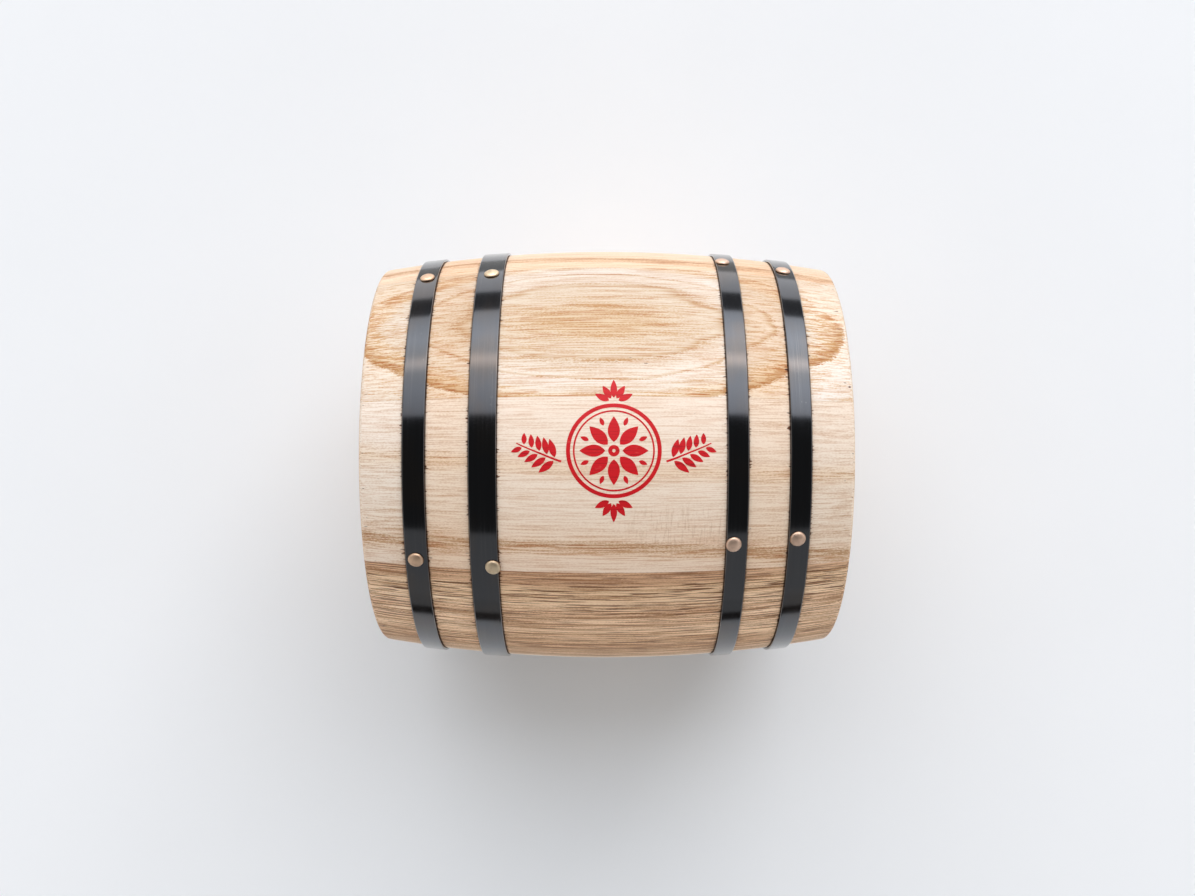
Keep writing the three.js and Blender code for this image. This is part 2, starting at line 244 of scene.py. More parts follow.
def full_turn(sides):
    """Evenly spaced angles once round."""
    return np.arange(sides) * 2 * math.pi / sides


def plain_mesh(name, points, faces):
    mesh = bpy.data.meshes.new(name)
    mesh.from_pydata(points, [], faces)
    return mesh


floor_turns = full_turn(FLOOR_SIDES)
floor_rim = [(FLOOR_RADIUS * math.cos(turn), FLOOR_RADIUS * math.sin(turn), 0) for turn in floor_turns]
floor = placed("floor", plain_mesh("floor", floor_rim, [list(range(FLOOR_SIDES))]))
floor_paint = new_finish("floor_paint")
mottle = noise(coordinates(floor_paint), MOTTLE, 2)
finished(
    floor_paint,
    Base_Color=mixed(mottle, paint(240, 243, 246), paint(244, 247, 250)),
    Roughness=0.9,
    Specular_IOR_Level=0.0,
)
floor.data.materials.append(floor_paint)
print("floor radius", FLOOR_RADIUS, "m")

# %% [markdown]
# A soft box isn't evenly bright, and neither is a room. A picture of a studio could light the scene, but
# a few ramps say the same and can be read. These helpers split a place into its axes, bring a value from
# one range to another, multiply a colour by a tint, and turn a share into a colour.

# %% Helpers for gradings


def grey(level):
    return (level, level, level, 1)


def axes(vector):
    """The X, Y and Z of a vector."""
    return add("SeparateXYZ", vector).node.outputs


def scaled(value, low, high, to_low, to_high):
    return add("MapRange", value, low, high, to_low, to_high)


def stained(colour, tint, share=1.0):
    """Colour multiplied by a tint, by a share."""
    return mixed(share, colour, tint, "MULTIPLY")


def ramp(share, stops):
    """Colour ramp through stops of (place, colour); returns its colour and its alpha."""
    made = add("ValToRGB", share).node
    elements = made.color_ramp.elements
    while len(elements) < len(stops):
        elements.new(0.5)
    for element, (place, colour) in zip(elements, stops):
        element.position = place
        element.color = colour
    return made.outputs


print("grading helpers ready")

# %% [markdown]
# The steel hoops mirror the studio, so their bands tell where its lights are. Each reflected ray
# leaves a hoop at about twice the angle of its place from the top. The bands show a large soft box on
# the +Y side and a weak fill on the -Y side. The lamps are panels square to those directions, each
# given as a span of angles from straight up. A key and a low fill that don't show in the steel settle
# how deep the shadow is.

# %% Lamps
PANEL_DISTANCE = 6.0
PLAIN_GRADING = [(0.0, grey(1)), (1.0, grey(1))]
SOFT_BOX_GRADING = [
    (0.0, (0.78, 0.79, 0.83, 1)),
    (0.28, (1.1, 1.13, 1.2, 1)),
    (0.41, (1.13, 1.13, 1.14, 1)),
    (0.49, (2.5, 2.2, 2.0, 1)),
    (0.56, (1.15, 1.15, 1.16, 1)),
    (0.7, (1.13, 1.18, 1.27, 1)),
    (1.0, (0.57, 0.6, 0.65, 1)),
]
LAMPS = {
    "soft_box": {
        "span": (22.0, 86.8),
        "spread": 74,
        "radiance": 2.05,
        "grading": SOFT_BOX_GRADING,
        "sides": (0.6, 1.4),
    },
    "key": {"span": (4.0, 34.0), "spread": 60, "radiance": 0.42, "mirrored": False},
    "fill": {"span": (-43.0, -88.0), "spread": 90, "radiance": 0.4},
    "low_fill": {"span": (-73.0, -89.0), "spread": 90, "radiance": 1.6, "mirrored": False},
}


def light_panel(name, span, spread, radiance, grading=PLAIN_GRADING, sides=(1, 1), mirrored=True):
    """Lamp that fills a span of angles from straight up and a spread of angles along the barrel.

    The grading gives its colour in stops from the high edge to the low one, and sides its level at the
    base's side and the lid's. A lamp that isn't mirrored lights the scene without showing in the steel.
    """
    first, last = (math.radians(angle) for angle in span)
    middle = (first + last) / 2
    height = 2 * PANEL_DISTANCE * math.tan(abs(last - first) / 2)
    width = 2 * PANEL_DISTANCE * math.tan(math.radians(spread) / 2)
    data = bpy.data.lights.new(name, "AREA")
    data.shape = "RECTANGLE"
    data.size, data.size_y = width, height
    data.energy = radiance * math.pi * width * height
    data.use_nodes = True
    nodes = data.node_tree.nodes
    across, down, _ = axes(nodes.new("ShaderNodeNewGeometry").outputs["Parametric"])
    colour, _ = ramp(down, grading)
    level = scaled(across, 0, 1, *sides)
    feed(nodes["Emission"].inputs["Color"], stained(colour, level))
    lamp = placed(name, data)
    out = Vector((0, math.sin(middle), math.cos(middle)))
    lamp.location = Vector((0, 0, axis_height)) + PANEL_DISTANCE * out
    lamp.rotation_euler = (-middle, 0, 0)
    lamp.visible_glossy = mirrored


for name, settings in LAMPS.items():
    light_panel(name, **settings)
print("lamps:", list(LAMPS))

# %% [markdown]
# Low on each side the steel shows strips that no lamp explains: a dark band near the horizon on both
# sides, and a dim and a bright band on the floor towards +Y. The world could show them too, but cards
# stand close by, so the bands shift along the barrel as in a real room. Three are upright and two flat.
# Only reflections see them, so they neither light the wood nor cast a shadow.

# %% Cards
CARD_LENGTH = 2.4
CARDS = [  # two long edges of (towards +Y, up), and a glow
    ((0.6, 0.0), (0.6, 0.153), (0.19, 0.19, 0.2)),
    ((-0.49, 0.0), (-0.49, 0.06), (0.03, 0.02, 0.016)),
    ((-0.49, 0.06), (-0.49, 0.135), (0.4, 0.4, 0.4)),
    ((0.14, 0.002), (0.21, 0.002), (0.5, 0.5, 0.5)),
    ((0.21, 0.002), (0.55, 0.002), (1.65, 1.65, 1.7)),
]
half_card = CARD_LENGTH / 2
card_ends = (-half_card, half_card, half_card, -half_card)

for number, (*edges, glow) in enumerate(CARDS, 1):
    name = f"card_{number}"
    corners = [(x, *edge) for x, edge in zip(card_ends, np.repeat(edges, 2, axis=0))]
    card = placed(name, plain_mesh(name, corners, [(0, 1, 2, 3)]))
    card.data.materials.append(finished(
        new_finish(name),
        Base_Color=(0, 0, 0, 1),
        Specular_IOR_Level=0.0,
        Emission_Color=(*glow, 1),
        Emission_Strength=1.0,
    ))
    card.visible_camera = card.visible_diffuse = card.visible_shadow = False
print("cards:", len(CARDS))

# %% [markdown]
# The rest of the room is the world. The steel shows it dark overhead and towards -Y, and pale near the
# horizon on the other three sides. Two ramps over the height, one for the middle and one for the two
# ends of the barrel, are mixed by the direction of each ray.

# %% World
HORIZON_LIGHT, ZENITH_LIGHT = grey(0.95), grey(0.07)
SIDE_LIGHT, NEAR_SIDE_LIGHT = grey(0.85), grey(0.45)
MIDDLE_HEIGHTS, SIDE_HEIGHTS = (0.33, 0.72), (0.3, 0.5)
FAR_WAYS, SIDE_WAYS = (-0.2, 0.1), (0.45, 0.65)  # share of a ray's direction that is +Y, or along X


def maths(operation, *values):
    return add("Math", *values, operation=operation)


def rise(value, low, high):
    """0 below low and 1 above high, with a soft step between."""
    return add("MapRange", value, low, high, 0.0, 1.0, interpolation_type="SMOOTHSTEP")


studio = bpy.data.worlds.new("studio")
studio.use_nodes = True
bpy.context.scene.world = studio
sky_x, sky_y, sky_z = axes(coordinates(studio, "Generated"))
middle_sky, _ = ramp(sky_z, list(zip(MIDDLE_HEIGHTS, (HORIZON_LIGHT, ZENITH_LIGHT))))
side_sky, _ = ramp(sky_z, list(zip(SIDE_HEIGHTS, (HORIZON_LIGHT, SIDE_LIGHT))))
far_share = rise(sky_y, *FAR_WAYS)
middle_sky = mixed(far_share, ZENITH_LIGHT, middle_sky)
side_sky = mixed(far_share, NEAR_SIDE_LIGHT, side_sky)
side_share = rise(maths("ABSOLUTE", sky_x), *SIDE_WAYS)
feed(studio.node_tree.nodes["Background"].inputs["Color"], mixed(side_share, middle_sky, side_sky))
print("world:", studio.name)

# %% [markdown]
# The staves are sawn from straight-grained blocks and the barrel is turned from them, so its surface
# cuts through the growth layers. A solid texture does that by itself: the wood is described in the
# block's own millimetres, along the grain, across it and up through the layers. A bent stave takes its
# fibres along, so a second set of coordinates follows a share of the bulge. Where the fibres follow
# less than all of it, the turned surface cuts them short towards the ends.

# %% Block of wood
SEED_STEPS = (7.3, 3.1, 5.7)  # mm of noise from one seed to the next


def times(first, second):
    return maths("MULTIPLY", first, second)


class Block:
    """Block of wood that is turned by Euler angles into along, across and up, all in mm.

    The bend is the share of the bulge that the fibres follow, and the seed gives each block its own noise.
    """

    def __init__(self, material, turn, bend, seed):
        self.shift = tuple(seed * step for step in SEED_STEPS)
        from_axis = add("VectorMath", coordinates(material), (0, 0, axis_height), operation="SUBTRACT")
        self.place = add("Mapping", from_axis, None, turn, (1 / MM, 1 / MM, 1 / MM))
        self.along, self.across, self.up = axes(self.place)
        self.outward = maths("ABSOLUTE", self.along)
        fall = times(maths("POWER", self.outward, 2), -swell * MM * bend)
        taper = maths("MULTIPLY_ADD", fall, MM / belly_radius, 1.0)
        self.fibres = add("CombineXYZ", self.along, times(self.across, taper), maths("ADD", self.up, fall))

    def flecks(self, stretch, detail):
        """Noise that lies straight in the block."""
        return noise(self.place, stretch, detail, self.shift)

    def threads(self, stretch, detail):
        """Noise that follows the fibres."""
        return noise(self.fibres, stretch, detail, self.shift)


print("block of wood ready")

# %% [markdown]
# In a flat-sawn block the layers lie flat, so the curved surface cuts them into arches. In a
# quarter-sawn one they stand upright, and it cuts them into straight bands. They stray a little, as in
# any tree. One ramp over the layers gives their colours, with an alpha that says how many open pores
# each has, and a second ramp says how strong the grain is.

# %% Growth layers
WANDER = 0.6  # mm that the layers stray
RAGGED = 0.09  # mm that single fibres stray
USUAL_NOISE = (0.3, 0.7)  # most values of noise lie here


def ranged(cloud, low, high):
    """Noise brought from its usual values to a range."""
    return scaled(cloud, *USUAL_NOISE, low, high)


def growth_layers(block, kind, grit):
    """Place among the layers, in mm."""
    by_depth, by_width = kind["saw"]
    depth = maths("SUBTRACT", belly_radius / MM, block.up)
    layer = times(depth, by_depth)
    layer = maths("MULTIPLY_ADD", block.across, by_width, layer)
    layer = maths("MULTIPLY_ADD", block.along, kind["lean"], layer)
    stray = block.flecks((0.018, 0.08, 0.08), 3)
    layer = maths("ADD", layer, scaled(stray, 0.25, 0.75, -WANDER, WANDER))
    return maths("ADD", layer, ranged(grit, -RAGGED, RAGGED))


def zone_ramps(layer, zones):
    """Colour, amount of pores and amount of grain of each layer."""
    first, last = zones[0][0], zones[-1][0]
    share = scaled(layer, first, last, 0, 1)
    colour_stops = []
    grain_stops = []
    for place, colour, pores, grain in zones:
        stop = (place - first) / (last - first)
        colour_stops.append((stop, (*paint(*colour)[:3], pores)))
        grain_stops.append((stop, grey(grain)))
    colour, pore_amount = ramp(share, colour_stops)
    grain_amount, _ = ramp(share, grain_stops)
    return colour, pore_amount, grain_amount


print("growth layers ready")

# %% [markdown]
# A stave isn't one colour from end to end. Between a pair of hoops and past the last hoop it has aged
# in its own way, so its colour is multiplied by a wash there. Each wash starts about a hoop, which hides
# most of the step. The colour is also multiplied by a ramp from one side of the stave to the other; on
# the tan stave this ramp is painted shade, darker on the side towards +Y that the soft box lights most.
# In the flat-sawn wood one side of the arch stays soft.

# %% Washes
BELLY_HOOP, END_HOOP = (36, 44), (56, 64)  # mm from the middle
BASE_TO_LID = (-10, 10)  # mm along
SIDE_TO_SIDE = (-25, 25)  # mm across
SOFT_SIDE, SOFT_LAYERS, SOFTNESS = (-1, 4), (4.4, 5.8), 0.9  # mm across, mm through the layers, share


def washed(colour, block, kind, layer):
    """Colour with the washes of a kind of wood, and its ramp across, painted shade on the tan kind."""
    if kind.get("soft_side"):
        soft = times(rise(block.across, *SOFT_SIDE), rise(layer, *SOFT_LAYERS))
        colour = mixed(times(soft, SOFTNESS), colour, paint(*kind["soft_side"]))
    between = times(rise(block.outward, *BELLY_HOOP), rise(block.outward, *END_HOOP[::-1]))
    colour = stained(colour, kind["between_hoops"], between)
    end_wash = mixed(rise(block.along, *BASE_TO_LID), *kind["past_hoops"])
    colour = stained(colour, end_wash, rise(block.outward, *END_HOOP))
    # Ramp across the stave: painted shade on the tan kind, darker towards +Y where the soft box lights it
    # most.
    return stained(colour, scaled(block.across, *SIDE_TO_SIDE, *kind["tint_and_shade_across"]))


print("washes ready")

# %% [markdown]
# The grain is three noises of different lengths laid over each other: broad streaks, fine hairs and
# short grit. It is stronger towards the ends, where the turned surface cuts the fibres. A quarter-sawn
# face also shows rays, short ticks across the grain that come in patches.

# %% Grain and rays
PALE_TO_DARK = (0.66, 0.34)  # values of noise
TOWARDS_ENDS, END_GAIN = (36, 50), 1.35  # mm from the middle, and times the share
RAY_TINT = paint(206, 182, 158)
RAYS_ALONG, RAYS_ACROSS = (24, 8), (9, 3)  # mm off a patch's middle, where ticks start and are full


def grain_share(block, kind, amount, streaks, hairs, grit):
    """Share of the dark grain, from a layer's own amount of it."""
    share = scaled(streaks, *PALE_TO_DARK, -0.2, 0.45)
    share = maths("MULTIPLY_ADD", scaled(hairs, *PALE_TO_DARK, -0.7, 0.9), kind["hairs"], share)
    share = maths("MULTIPLY_ADD", scaled(grit, *PALE_TO_DARK, -0.4, 0.65), kind["grit"], share)
    return times(times(share, amount), scaled(block.outward, *TOWARDS_ENDS, 1.0, END_GAIN))


def rayed(colour, block, strength, along, across):
    """Colour with ray ticks in a patch about a place in the block."""
    ticks = block.flecks((2.0, 0.2, 0.2), 2)
    off_along = maths("ABSOLUTE", maths("SUBTRACT", block.along, along))
    off_across = maths("ABSOLUTE", maths("SUBTRACT", block.across, across))
    patch = times(rise(off_along, *RAYS_ALONG), rise(off_across, *RAYS_ACROSS))
    return stained(colour, RAY_TINT, times(times(rise(ticks, 0.5, 0.66), patch), strength))


print("grain and rays ready")

# %% [markdown]
# Making and use leave marks. End grain is darker than the sides, and near the rims the wood dries into
# small checks. A driven hoop crushes the fibres beside it in ragged notches, whose dark tint is partly
# the crushed wood and partly painted shade. A thin dark line along the hoop's edge is painted shade
# where the steel meets the wood. The notches could be cut into the mesh, but they are finer than its
# grid. So the mesh stores how near a hoop each point is, and noise tears that into notches.

# %% Marks on the wood
# Darker crushed wood, with painted shade in the notches and checks.
CRUSHED_WOOD_AND_SHADE_TINT = paint(112, 76, 52)
END_TINT = paint(226, 206, 180)
CHECKED_ENDS = (69, 73)  # mm from the middle


def end_marked(colour, material, block, end_axis):
    """Colour with end grain where the block faces along an axis, and with checks near the rims."""
    facing = axes(coordinates(material, "Normal"))[end_axis]
    colour = stained(colour, END_TINT, rise(maths("ABSOLUTE", facing), 0.75, 0.95))
    checks = block.flecks((0.3, 1.5, 1.5), 1)
    # The checks are painted shade in small cracks, in the same tint as the notches.
    return stained(colour, CRUSHED_WOOD_AND_SHADE_TINT, times(rise(checks, 0.72, 0.78), rise(block.outward, *CHECKED_ENDS)))


def stored(material, key):
    """Value that the mesh stores at each point."""
    made = material.node_tree.nodes.new("ShaderNodeAttribute")
    made.attribute_name = key
    return made.outputs["Fac"]


def hoop_marks(material, block):
    """Shares of the crushed notches, partly painted shade, and of the painted shade along a hoop's edge."""
    near_hoop = stored(material, "near_hoop")
    notches = block.flecks((0.35, 1.7, 1.7), 2)
    notches = maths("MULTIPLY_ADD", near_hoop, 0.3, notches)
    torn = block.flecks((0.06, 0.16, 0.16), 2)
    notches = maths("ADD", notches, scaled(torn, 0.35, 0.65, -0.15, 0.03))
    return rise(notches, 0.74, 0.84), times(rise(near_hoop, 0.72, 0.92), 0.92)


print("marks ready")

# %% [markdown]
# Now the steps come together in one recipe: layers, washes, grain and pores, then the marks. Every stave
# and board uses it with its own kind, turn and seed. Pores, notches and hairs also shape the surface, so
# the same shares make the bump.

# %% Wood finish
WHITE = grey(1)
# Painted shade along a hoop's edge, where the steel meets the wood.
CONTACT_SHADE_TINT = paint(64, 42, 31)
WOOD_RELIEF = 0.13 * MM


def relief(height, strength, depth):
    """Bump of a depth in metres from a height between 0 and 1."""
    made = height.id_data.nodes.new("ShaderNodeBump")
    for key, value in (("Strength", strength), ("Distance", depth), ("Height", height)):
        feed(made.inputs[key], value)
    return made.outputs[0]


def wood_finish(name, turn, kind, seed, rays=None, wash=WHITE, end_axis="X"):
    """Wood of a kind for a block that is turned by Euler angles.

    Rays are given as (strength, along, across), a wash tints the whole block, and the end axis is
    where end grain faces.
    """
    material = new_finish(name)
    block = Block(material, turn, kind["bend"], seed)
    streaks = block.threads((0.03, 0.9, 0.9), 4)
    hairs = block.threads((0.03, 2.9, 2.9), 2)
    pores = block.threads((0.075, 2.0, 2.0), 1)
    grit = block.flecks((1.4, 3.0, 3.0), 1)

    layer = growth_layers(block, kind, grit)
    colour, pore_amount, grain_amount = zone_ramps(layer, kind["zones"])
    colour = stained(washed(colour, block, kind, layer), wash)
    dark_share = grain_share(block, kind, grain_amount, streaks, hairs, grit)
    colour = stained(colour, kind["grain"], dark_share)
    pore_share = times(rise(pores, 0.54, 0.62), pore_amount)
    colour = stained(colour, kind["pores"], pore_share)
    if rays:
        colour = rayed(colour, block, *rays)
    colour = end_marked(colour, material, block, end_axis)
    # Notches: crushed wood darkened with painted shade; the line along the hoop: painted shade.
    crushed, contact_shade = hoop_marks(material, block)
    colour = stained(stained(colour, CRUSHED_WOOD_AND_SHADE_TINT, crushed), CONTACT_SHADE_TINT, contact_shade)

    height = maths("MULTIPLY_ADD", hairs, 0.5, times(streaks, 0.5))
    height = maths("SUBTRACT", height, times(pore_share, 0.5))
    height = maths("SUBTRACT", height, maths("MAXIMUM", crushed, contact_shade))
    return finished(
        material,
        Base_Color=colour,
        Roughness=ranged(streaks, 0.66, 0.54),
        Specular_IOR_Level=0.35,
        Normal=relief(height, 0.3, WOOD_RELIEF),
    )


print("wood finish ready")

# %% [markdown]
# The three staves that face the camera differ: a flat-sawn tan one, a pale quarter-sawn one and a
# brown streaky one. Rings of equal width would look like a pattern, so each kind lists its layers one
# by one, as (mm in the block, colour, pores, grain), in the colours of bare, lightly sanded wood.

# %% Layers of the three woods
TAN_ZONES = [
    (-1.0, (211, 187, 156), 0.4, 0.8),
    (0.2, (211, 187, 156), 0.5, 0.9),
    (0.8, (216, 198, 176), 0.4, 0.6),
    (1.5, (218, 202, 182), 0.4, 0.5),
    (1.75, (207, 183, 155), 0.6, 0.8),
    (2.0, (220, 205, 188), 0.4, 0.5),
    (3.1, (230, 218, 205), 0.4, 0.4),
    (3.3, (215, 193, 166), 0.6, 0.8),
    (3.5, (230, 219, 208), 0.4, 0.4),
    (4.6, (228, 216, 202), 0.4, 0.5),
    (5.2, (230, 213, 192), 0.6, 0.9),
    (5.75, (223, 201, 173), 0.7, 1.1),
    (6.1, (212, 183, 148), 0.8, 1.2),
    (6.35, (204, 171, 132), 0.8, 1.2),
    (6.6, (238, 226, 213), 0.3, 0.45),
    (10.0, (233, 222, 211), 0.35, 0.4),
    (13.0, (226, 209, 190), 0.35, 0.45),
]
PALE_ZONES = [
    (-28.0, (250, 226, 203), 0.3, 0.35),
    (-22.8, (250, 226, 203), 0.4, 0.4),
    (-20.6, (242, 215, 188), 0.6, 1.0),
    (-18.4, (230, 202, 173), 0.7, 1.2),
    (-17.6, (234, 207, 179), 0.6, 1.0),
    (-16.8, (248, 225, 202), 0.3, 0.5),
    (-8.0, (247, 229, 210), 0.25, 0.35),
    (2.0, (245, 228, 210), 0.3, 0.35),
    (6.0, (240, 217, 192), 0.4, 0.6),
    (10.0, (244, 227, 210), 0.25, 0.35),
    (28.0, (243, 226, 209), 0.25, 0.35),
]
BROWN_ZONES = [
    (-28.0, (212, 182, 152), 0.5, 1.0),
    (-17.0, (219, 183, 147), 0.6, 1.3),
    (-14.0, (213, 174, 136), 0.9, 1.6),
    (-11.5, (228, 189, 151), 0.8, 1.5),
    (-9.0, (219, 180, 141), 0.8, 1.5),
    (-5.5, (233, 195, 157), 0.7, 1.3),
    (-2.5, (245, 210, 173), 0.6, 1.1),
    (0.5, (237, 202, 166), 0.6, 0.9),
    (2.5, (241, 206, 171), 0.6, 1.0),
    (4.8, (234, 196, 160), 0.7, 1.5),
    (6.8, (246, 212, 177), 0.6, 1.2),
    (9.0, (218, 178, 142), 0.7, 1.5),
    (11.0, (233, 195, 159), 0.9, 1.1),
    (13.0, (243, 209, 173), 0.9, 0.6),
    (15.0, (242, 208, 172), 0.9, 0.5),
    (17.5, (229, 192, 154), 1.0, 0.6),
    (19.8, (238, 203, 165), 1.0, 0.5),
    (21.0, (232, 196, 158), 1.0, 0.6),
    (22.6, (210, 168, 132), 0.7, 0.9),
    (28.0, (218, 176, 140), 0.4, 0.9),
]
print("layers:", len(TAN_ZONES), len(PALE_ZONES), len(BROWN_ZONES))

# %% [markdown]
# A kind of wood also says how it was sawn, how far its layers lean along the block, how its colour
# changes from side to side (painted shade on the tan kind) and how much of the bulge its fibres follow.
# Then come the strength of its hairs and grit, the tints of its grain and pores, and its washes.

# %% Kinds of wood
FLAT_SAWN, QUARTER_SAWN = (1.0, 0.0), (0.0, 1.0)
WOOD_KINDS = {
    "tan_wood": {
        "saw": FLAT_SAWN,
        "lean": 0.008,
        # Painted shade: darker towards +Y, where the soft box lights this stave most.
        "tint_and_shade_across": (1.08, 0.83),
        "bend": 0.5,
        "hairs": 1.25,
        "grit": 0.8,
        "zones": TAN_ZONES,
        "grain": (0.75, 0.52, 0.30, 1),
        "pores": (0.72, 0.40, 0.19, 1),
        "between_hoops": (0.9, 0.81, 0.7, 1),
        "past_hoops": ((0.92, 0.9, 0.86, 1), (0.98, 1.0, 1.02, 1)),
        "soft_side": (236, 219, 199),
    },
    "pale_wood": {
        "saw": QUARTER_SAWN,
        "lean": 0.04,
        "tint_and_shade_across": (1.0, 1.0),
        "bend": 0.75,
        "hairs": 1.0,
        "grit": 0.8,
        "zones": PALE_ZONES,
        "grain": (0.68, 0.51, 0.37, 1),
        "pores": (0.68, 0.42, 0.24, 1),
        "between_hoops": (0.97, 0.94, 0.9, 1),
        "past_hoops": ((0.98, 1.02, 1.06, 1), (0.97, 0.98, 0.98, 1)),
    },
    "brown_wood": {
        "saw": QUARTER_SAWN,
        "lean": -0.01,
        "tint_and_shade_across": (1.13, 1.11),
        "bend": 0.9,
        "hairs": 1.8,
        "grit": 0.65,
        "zones": BROWN_ZONES,
        "grain": (0.52, 0.40, 0.30, 1),
        "pores": (0.26, 0.17, 0.12, 1),
        "between_hoops": (1.09, 1.13, 1.17, 1),
        "past_hoops": ((1.03, 1.07, 1.12, 1), (1.06, 1.1, 1.14, 1)),
    },
}
print("kinds:", list(WOOD_KINDS))

# %% [markdown]
# The five staves behind repeat the three kinds, as a cooper would pick them from one stack. One material
# for each kind could serve, but its staves would then share one figure. So each stave gets a wood of its
# own, with its own seed, turned to its place in the circle.

# %% Stave woods
STAVE_COUNT = 8
STAVE_RAYS = {1: (0.3, 24, -12), 3: (0.16, -30, 6), 5: (0.16, 8, 10), 7: (0.16, -10, 0)}
STAVE_WASHES = {7: (0.82, 0.76, 0.69, 1)}

slot_of = {part["node"]: part["material_slot"] for part in frame["record"]["subparts"]}
first_joint = np.arctan2(stave_points[:, 1], stave_points[:, 2]).max()
stave_angle = 2 * math.pi / STAVE_COUNT


def stave_middle(number):
    return first_joint - stave_angle * (number - 0.5)


stave_woods = {}
for number in range(1, STAVE_COUNT + 1):
    node = f"stave_{number}"
    stave_woods[node] = wood_finish(
        f"{node}_wood",
        (stave_middle(number), 0, 0),
        WOOD_KINDS[slot_of[node]],
        number,
        STAVE_RAYS.get(number),
        STAVE_WASHES.get(number, WHITE),
    )
print("woods:", list(stave_woods))

# %% [markdown]
# The outside of a stave is smooth except next to a hoop, where the driven steel has crushed the fibres.
# Even steps that are fine enough for that would waste points. So the rows of points are close together
# only beside the hoops, and each has a nearness between 0 and 1.

# %% Rows along a stave
STAVE_STEP = 3 * MM
TOO_NEAR = 0.4 * STAVE_STEP
NEAR_HOOP_ROWS = ((-0.6, 1.0), (0.0, 1.0), (0.3, 0.8), (0.8, 0.5), (1.6, 0.0))  # mm away and nearness
HOOPS = ("base_end", "base_belly", "lid_belly", "lid_end")


def hoop_span(hoop):
    low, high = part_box(f"{hoop}_hoop")
    return low.x, high.x


def outside_rows():
    """Places along the outside of a stave as (along, nearness to a hoop's edge)."""
    rows = []
    for hoop in HOOPS:
        low, high = hoop_span(hoop)
        for away, nearness in NEAR_HOOP_ROWS:
            rows += [(low - away * MM, nearness), (high + away * MM, nearness)]
    near = sorted(x for x, _ in rows)
    limit = half_length - 2 * RIM_ROUNDING
    for x in np.arange(-limit, limit + STAVE_STEP / 2, STAVE_STEP):
        if min(abs(x - other) for other in near) > TOO_NEAR:
            rows.append((x, 0.0))
    return sorted(rows)


print(len(outside_rows()), "rows along each stave")

# %% [markdown]
# Most pieces are an outline that is swept or turned, and no real edge is sharp. A bevel modifier could
# round the edges afterwards, but all alike. Here each corner of an outline carries its own rounding,
# which this helper turns into a short arc.

# %% Rounded outlines
ARC_STEPS = 5


def rounded(corners, closed=True):
    """Outline through corners of (along, radius, rounding), each rounding made a short arc."""
    outline = []
    for i, (x, radius, rounding) in enumerate(corners):
        here = Vector((x, radius))
        if rounding == 0 or (not closed and i in (0, len(corners) - 1)):
            outline.append(here)
            continue
        back = (Vector(corners[i - 1][:2]) - here).normalized()
        ahead = (Vector(corners[(i + 1) % len(corners)][:2]) - here).normalized()
        half_turn = back.angle(ahead) / 2
        set_back = rounding / math.tan(half_turn)
        centre = here + (back + ahead).normalized() * rounding / math.sin(half_turn)
        first = here + back * set_back - centre
        last = here + ahead * set_back - centre
        for step in range(ARC_STEPS + 1):
            outline.append(centre + first.lerp(last, step / ARC_STEPS).normalized() * rounding)
    return outline


print("arcs of", ARC_STEPS, "steps")

# %% [markdown]
# A stave's outline runs from the base rim over the bulge to the lid rim and back along the inside,
# where a groove near each end holds the base or the mouth ring. A boolean could cut the grooves, but as
# part of the outline they need none.

# %% Outline of a stave
WALL = 10 * MM
CHIME_FIT = 0.3 * MM
GROOVE_DEPTH = 3.5 * MM
GROOVE_ROUNDING = 0.2 * MM
CHAMFER, CHAMFER_ROUNDING = 1 * MM, 0.3 * MM
INSIDE_STEPS = 16


def inner_radius(x):
    return wall_radius(x) - WALL


def stave_outline():
    """Outline of a stave as (along, radius, nearness), from the base rim over the outside and back."""
    outside = outside_rows()
    groove_out = ring_high.x + CHIME_FIT
    groove_in = ring_low.x - CHIME_FIT
    groove_floor = inner_radius((ring_low.x + ring_high.x) / 2) + GROOVE_DEPTH
    rim = [
        (half_length, wall_radius(half_length), RIM_ROUNDING),
        (half_length, inner_radius(half_length) + CHAMFER, CHAMFER_ROUNDING),
        (half_length - CHAMFER, inner_radius(half_length - CHAMFER), CHAMFER_ROUNDING),
        (groove_out, inner_radius(groove_out), GROOVE_ROUNDING),
        (groove_out, groove_floor, 0),
        (groove_in, groove_floor, 0),
        (groove_in, inner_radius(groove_in), GROOVE_ROUNDING),
    ]
    inside_places = np.linspace(groove_in, -groove_in, INSIDE_STEPS + 1)[1:-1]
    inside = [(x, inner_radius(x), 0) for x in inside_places]
    far_rim = [(-x, radius, rounding) for x, radius, rounding in reversed(rim)]
    first, last = ((x, wall_radius(x), 0) for x in (outside[0][0], outside[-1][0]))
    arcs = rounded([last, *rim, *inside, *far_rim, first], closed=False)
    rows = [(x, wall_radius(x), nearness) for x, nearness in outside]
    return np.array(rows + [(point.x, point.y, 0.0) for point in arcs[1:-1]])


outline = stave_outline()
print(len(outline), "points round each stave")

# %% [markdown]
# Places on a barrel are easiest to give as a distance along the axis, a radius and an angle from the
# top. A grid of such points becomes a surface when neighbours are joined with quads. Modifiers such as
# Screw could do the same, but a grid lets each point be nudged, which the frayed wood needs.

# %% Grids of points


def around(x, radius, angle):
    """Points at a distance along the axis, a radius and an angle from the top towards +Y."""
    x, radius, angle = np.broadcast_arrays(x, radius, angle)
    return np.stack([x, radius * np.sin(angle), axis_height + radius * np.cos(angle)], axis=-1)


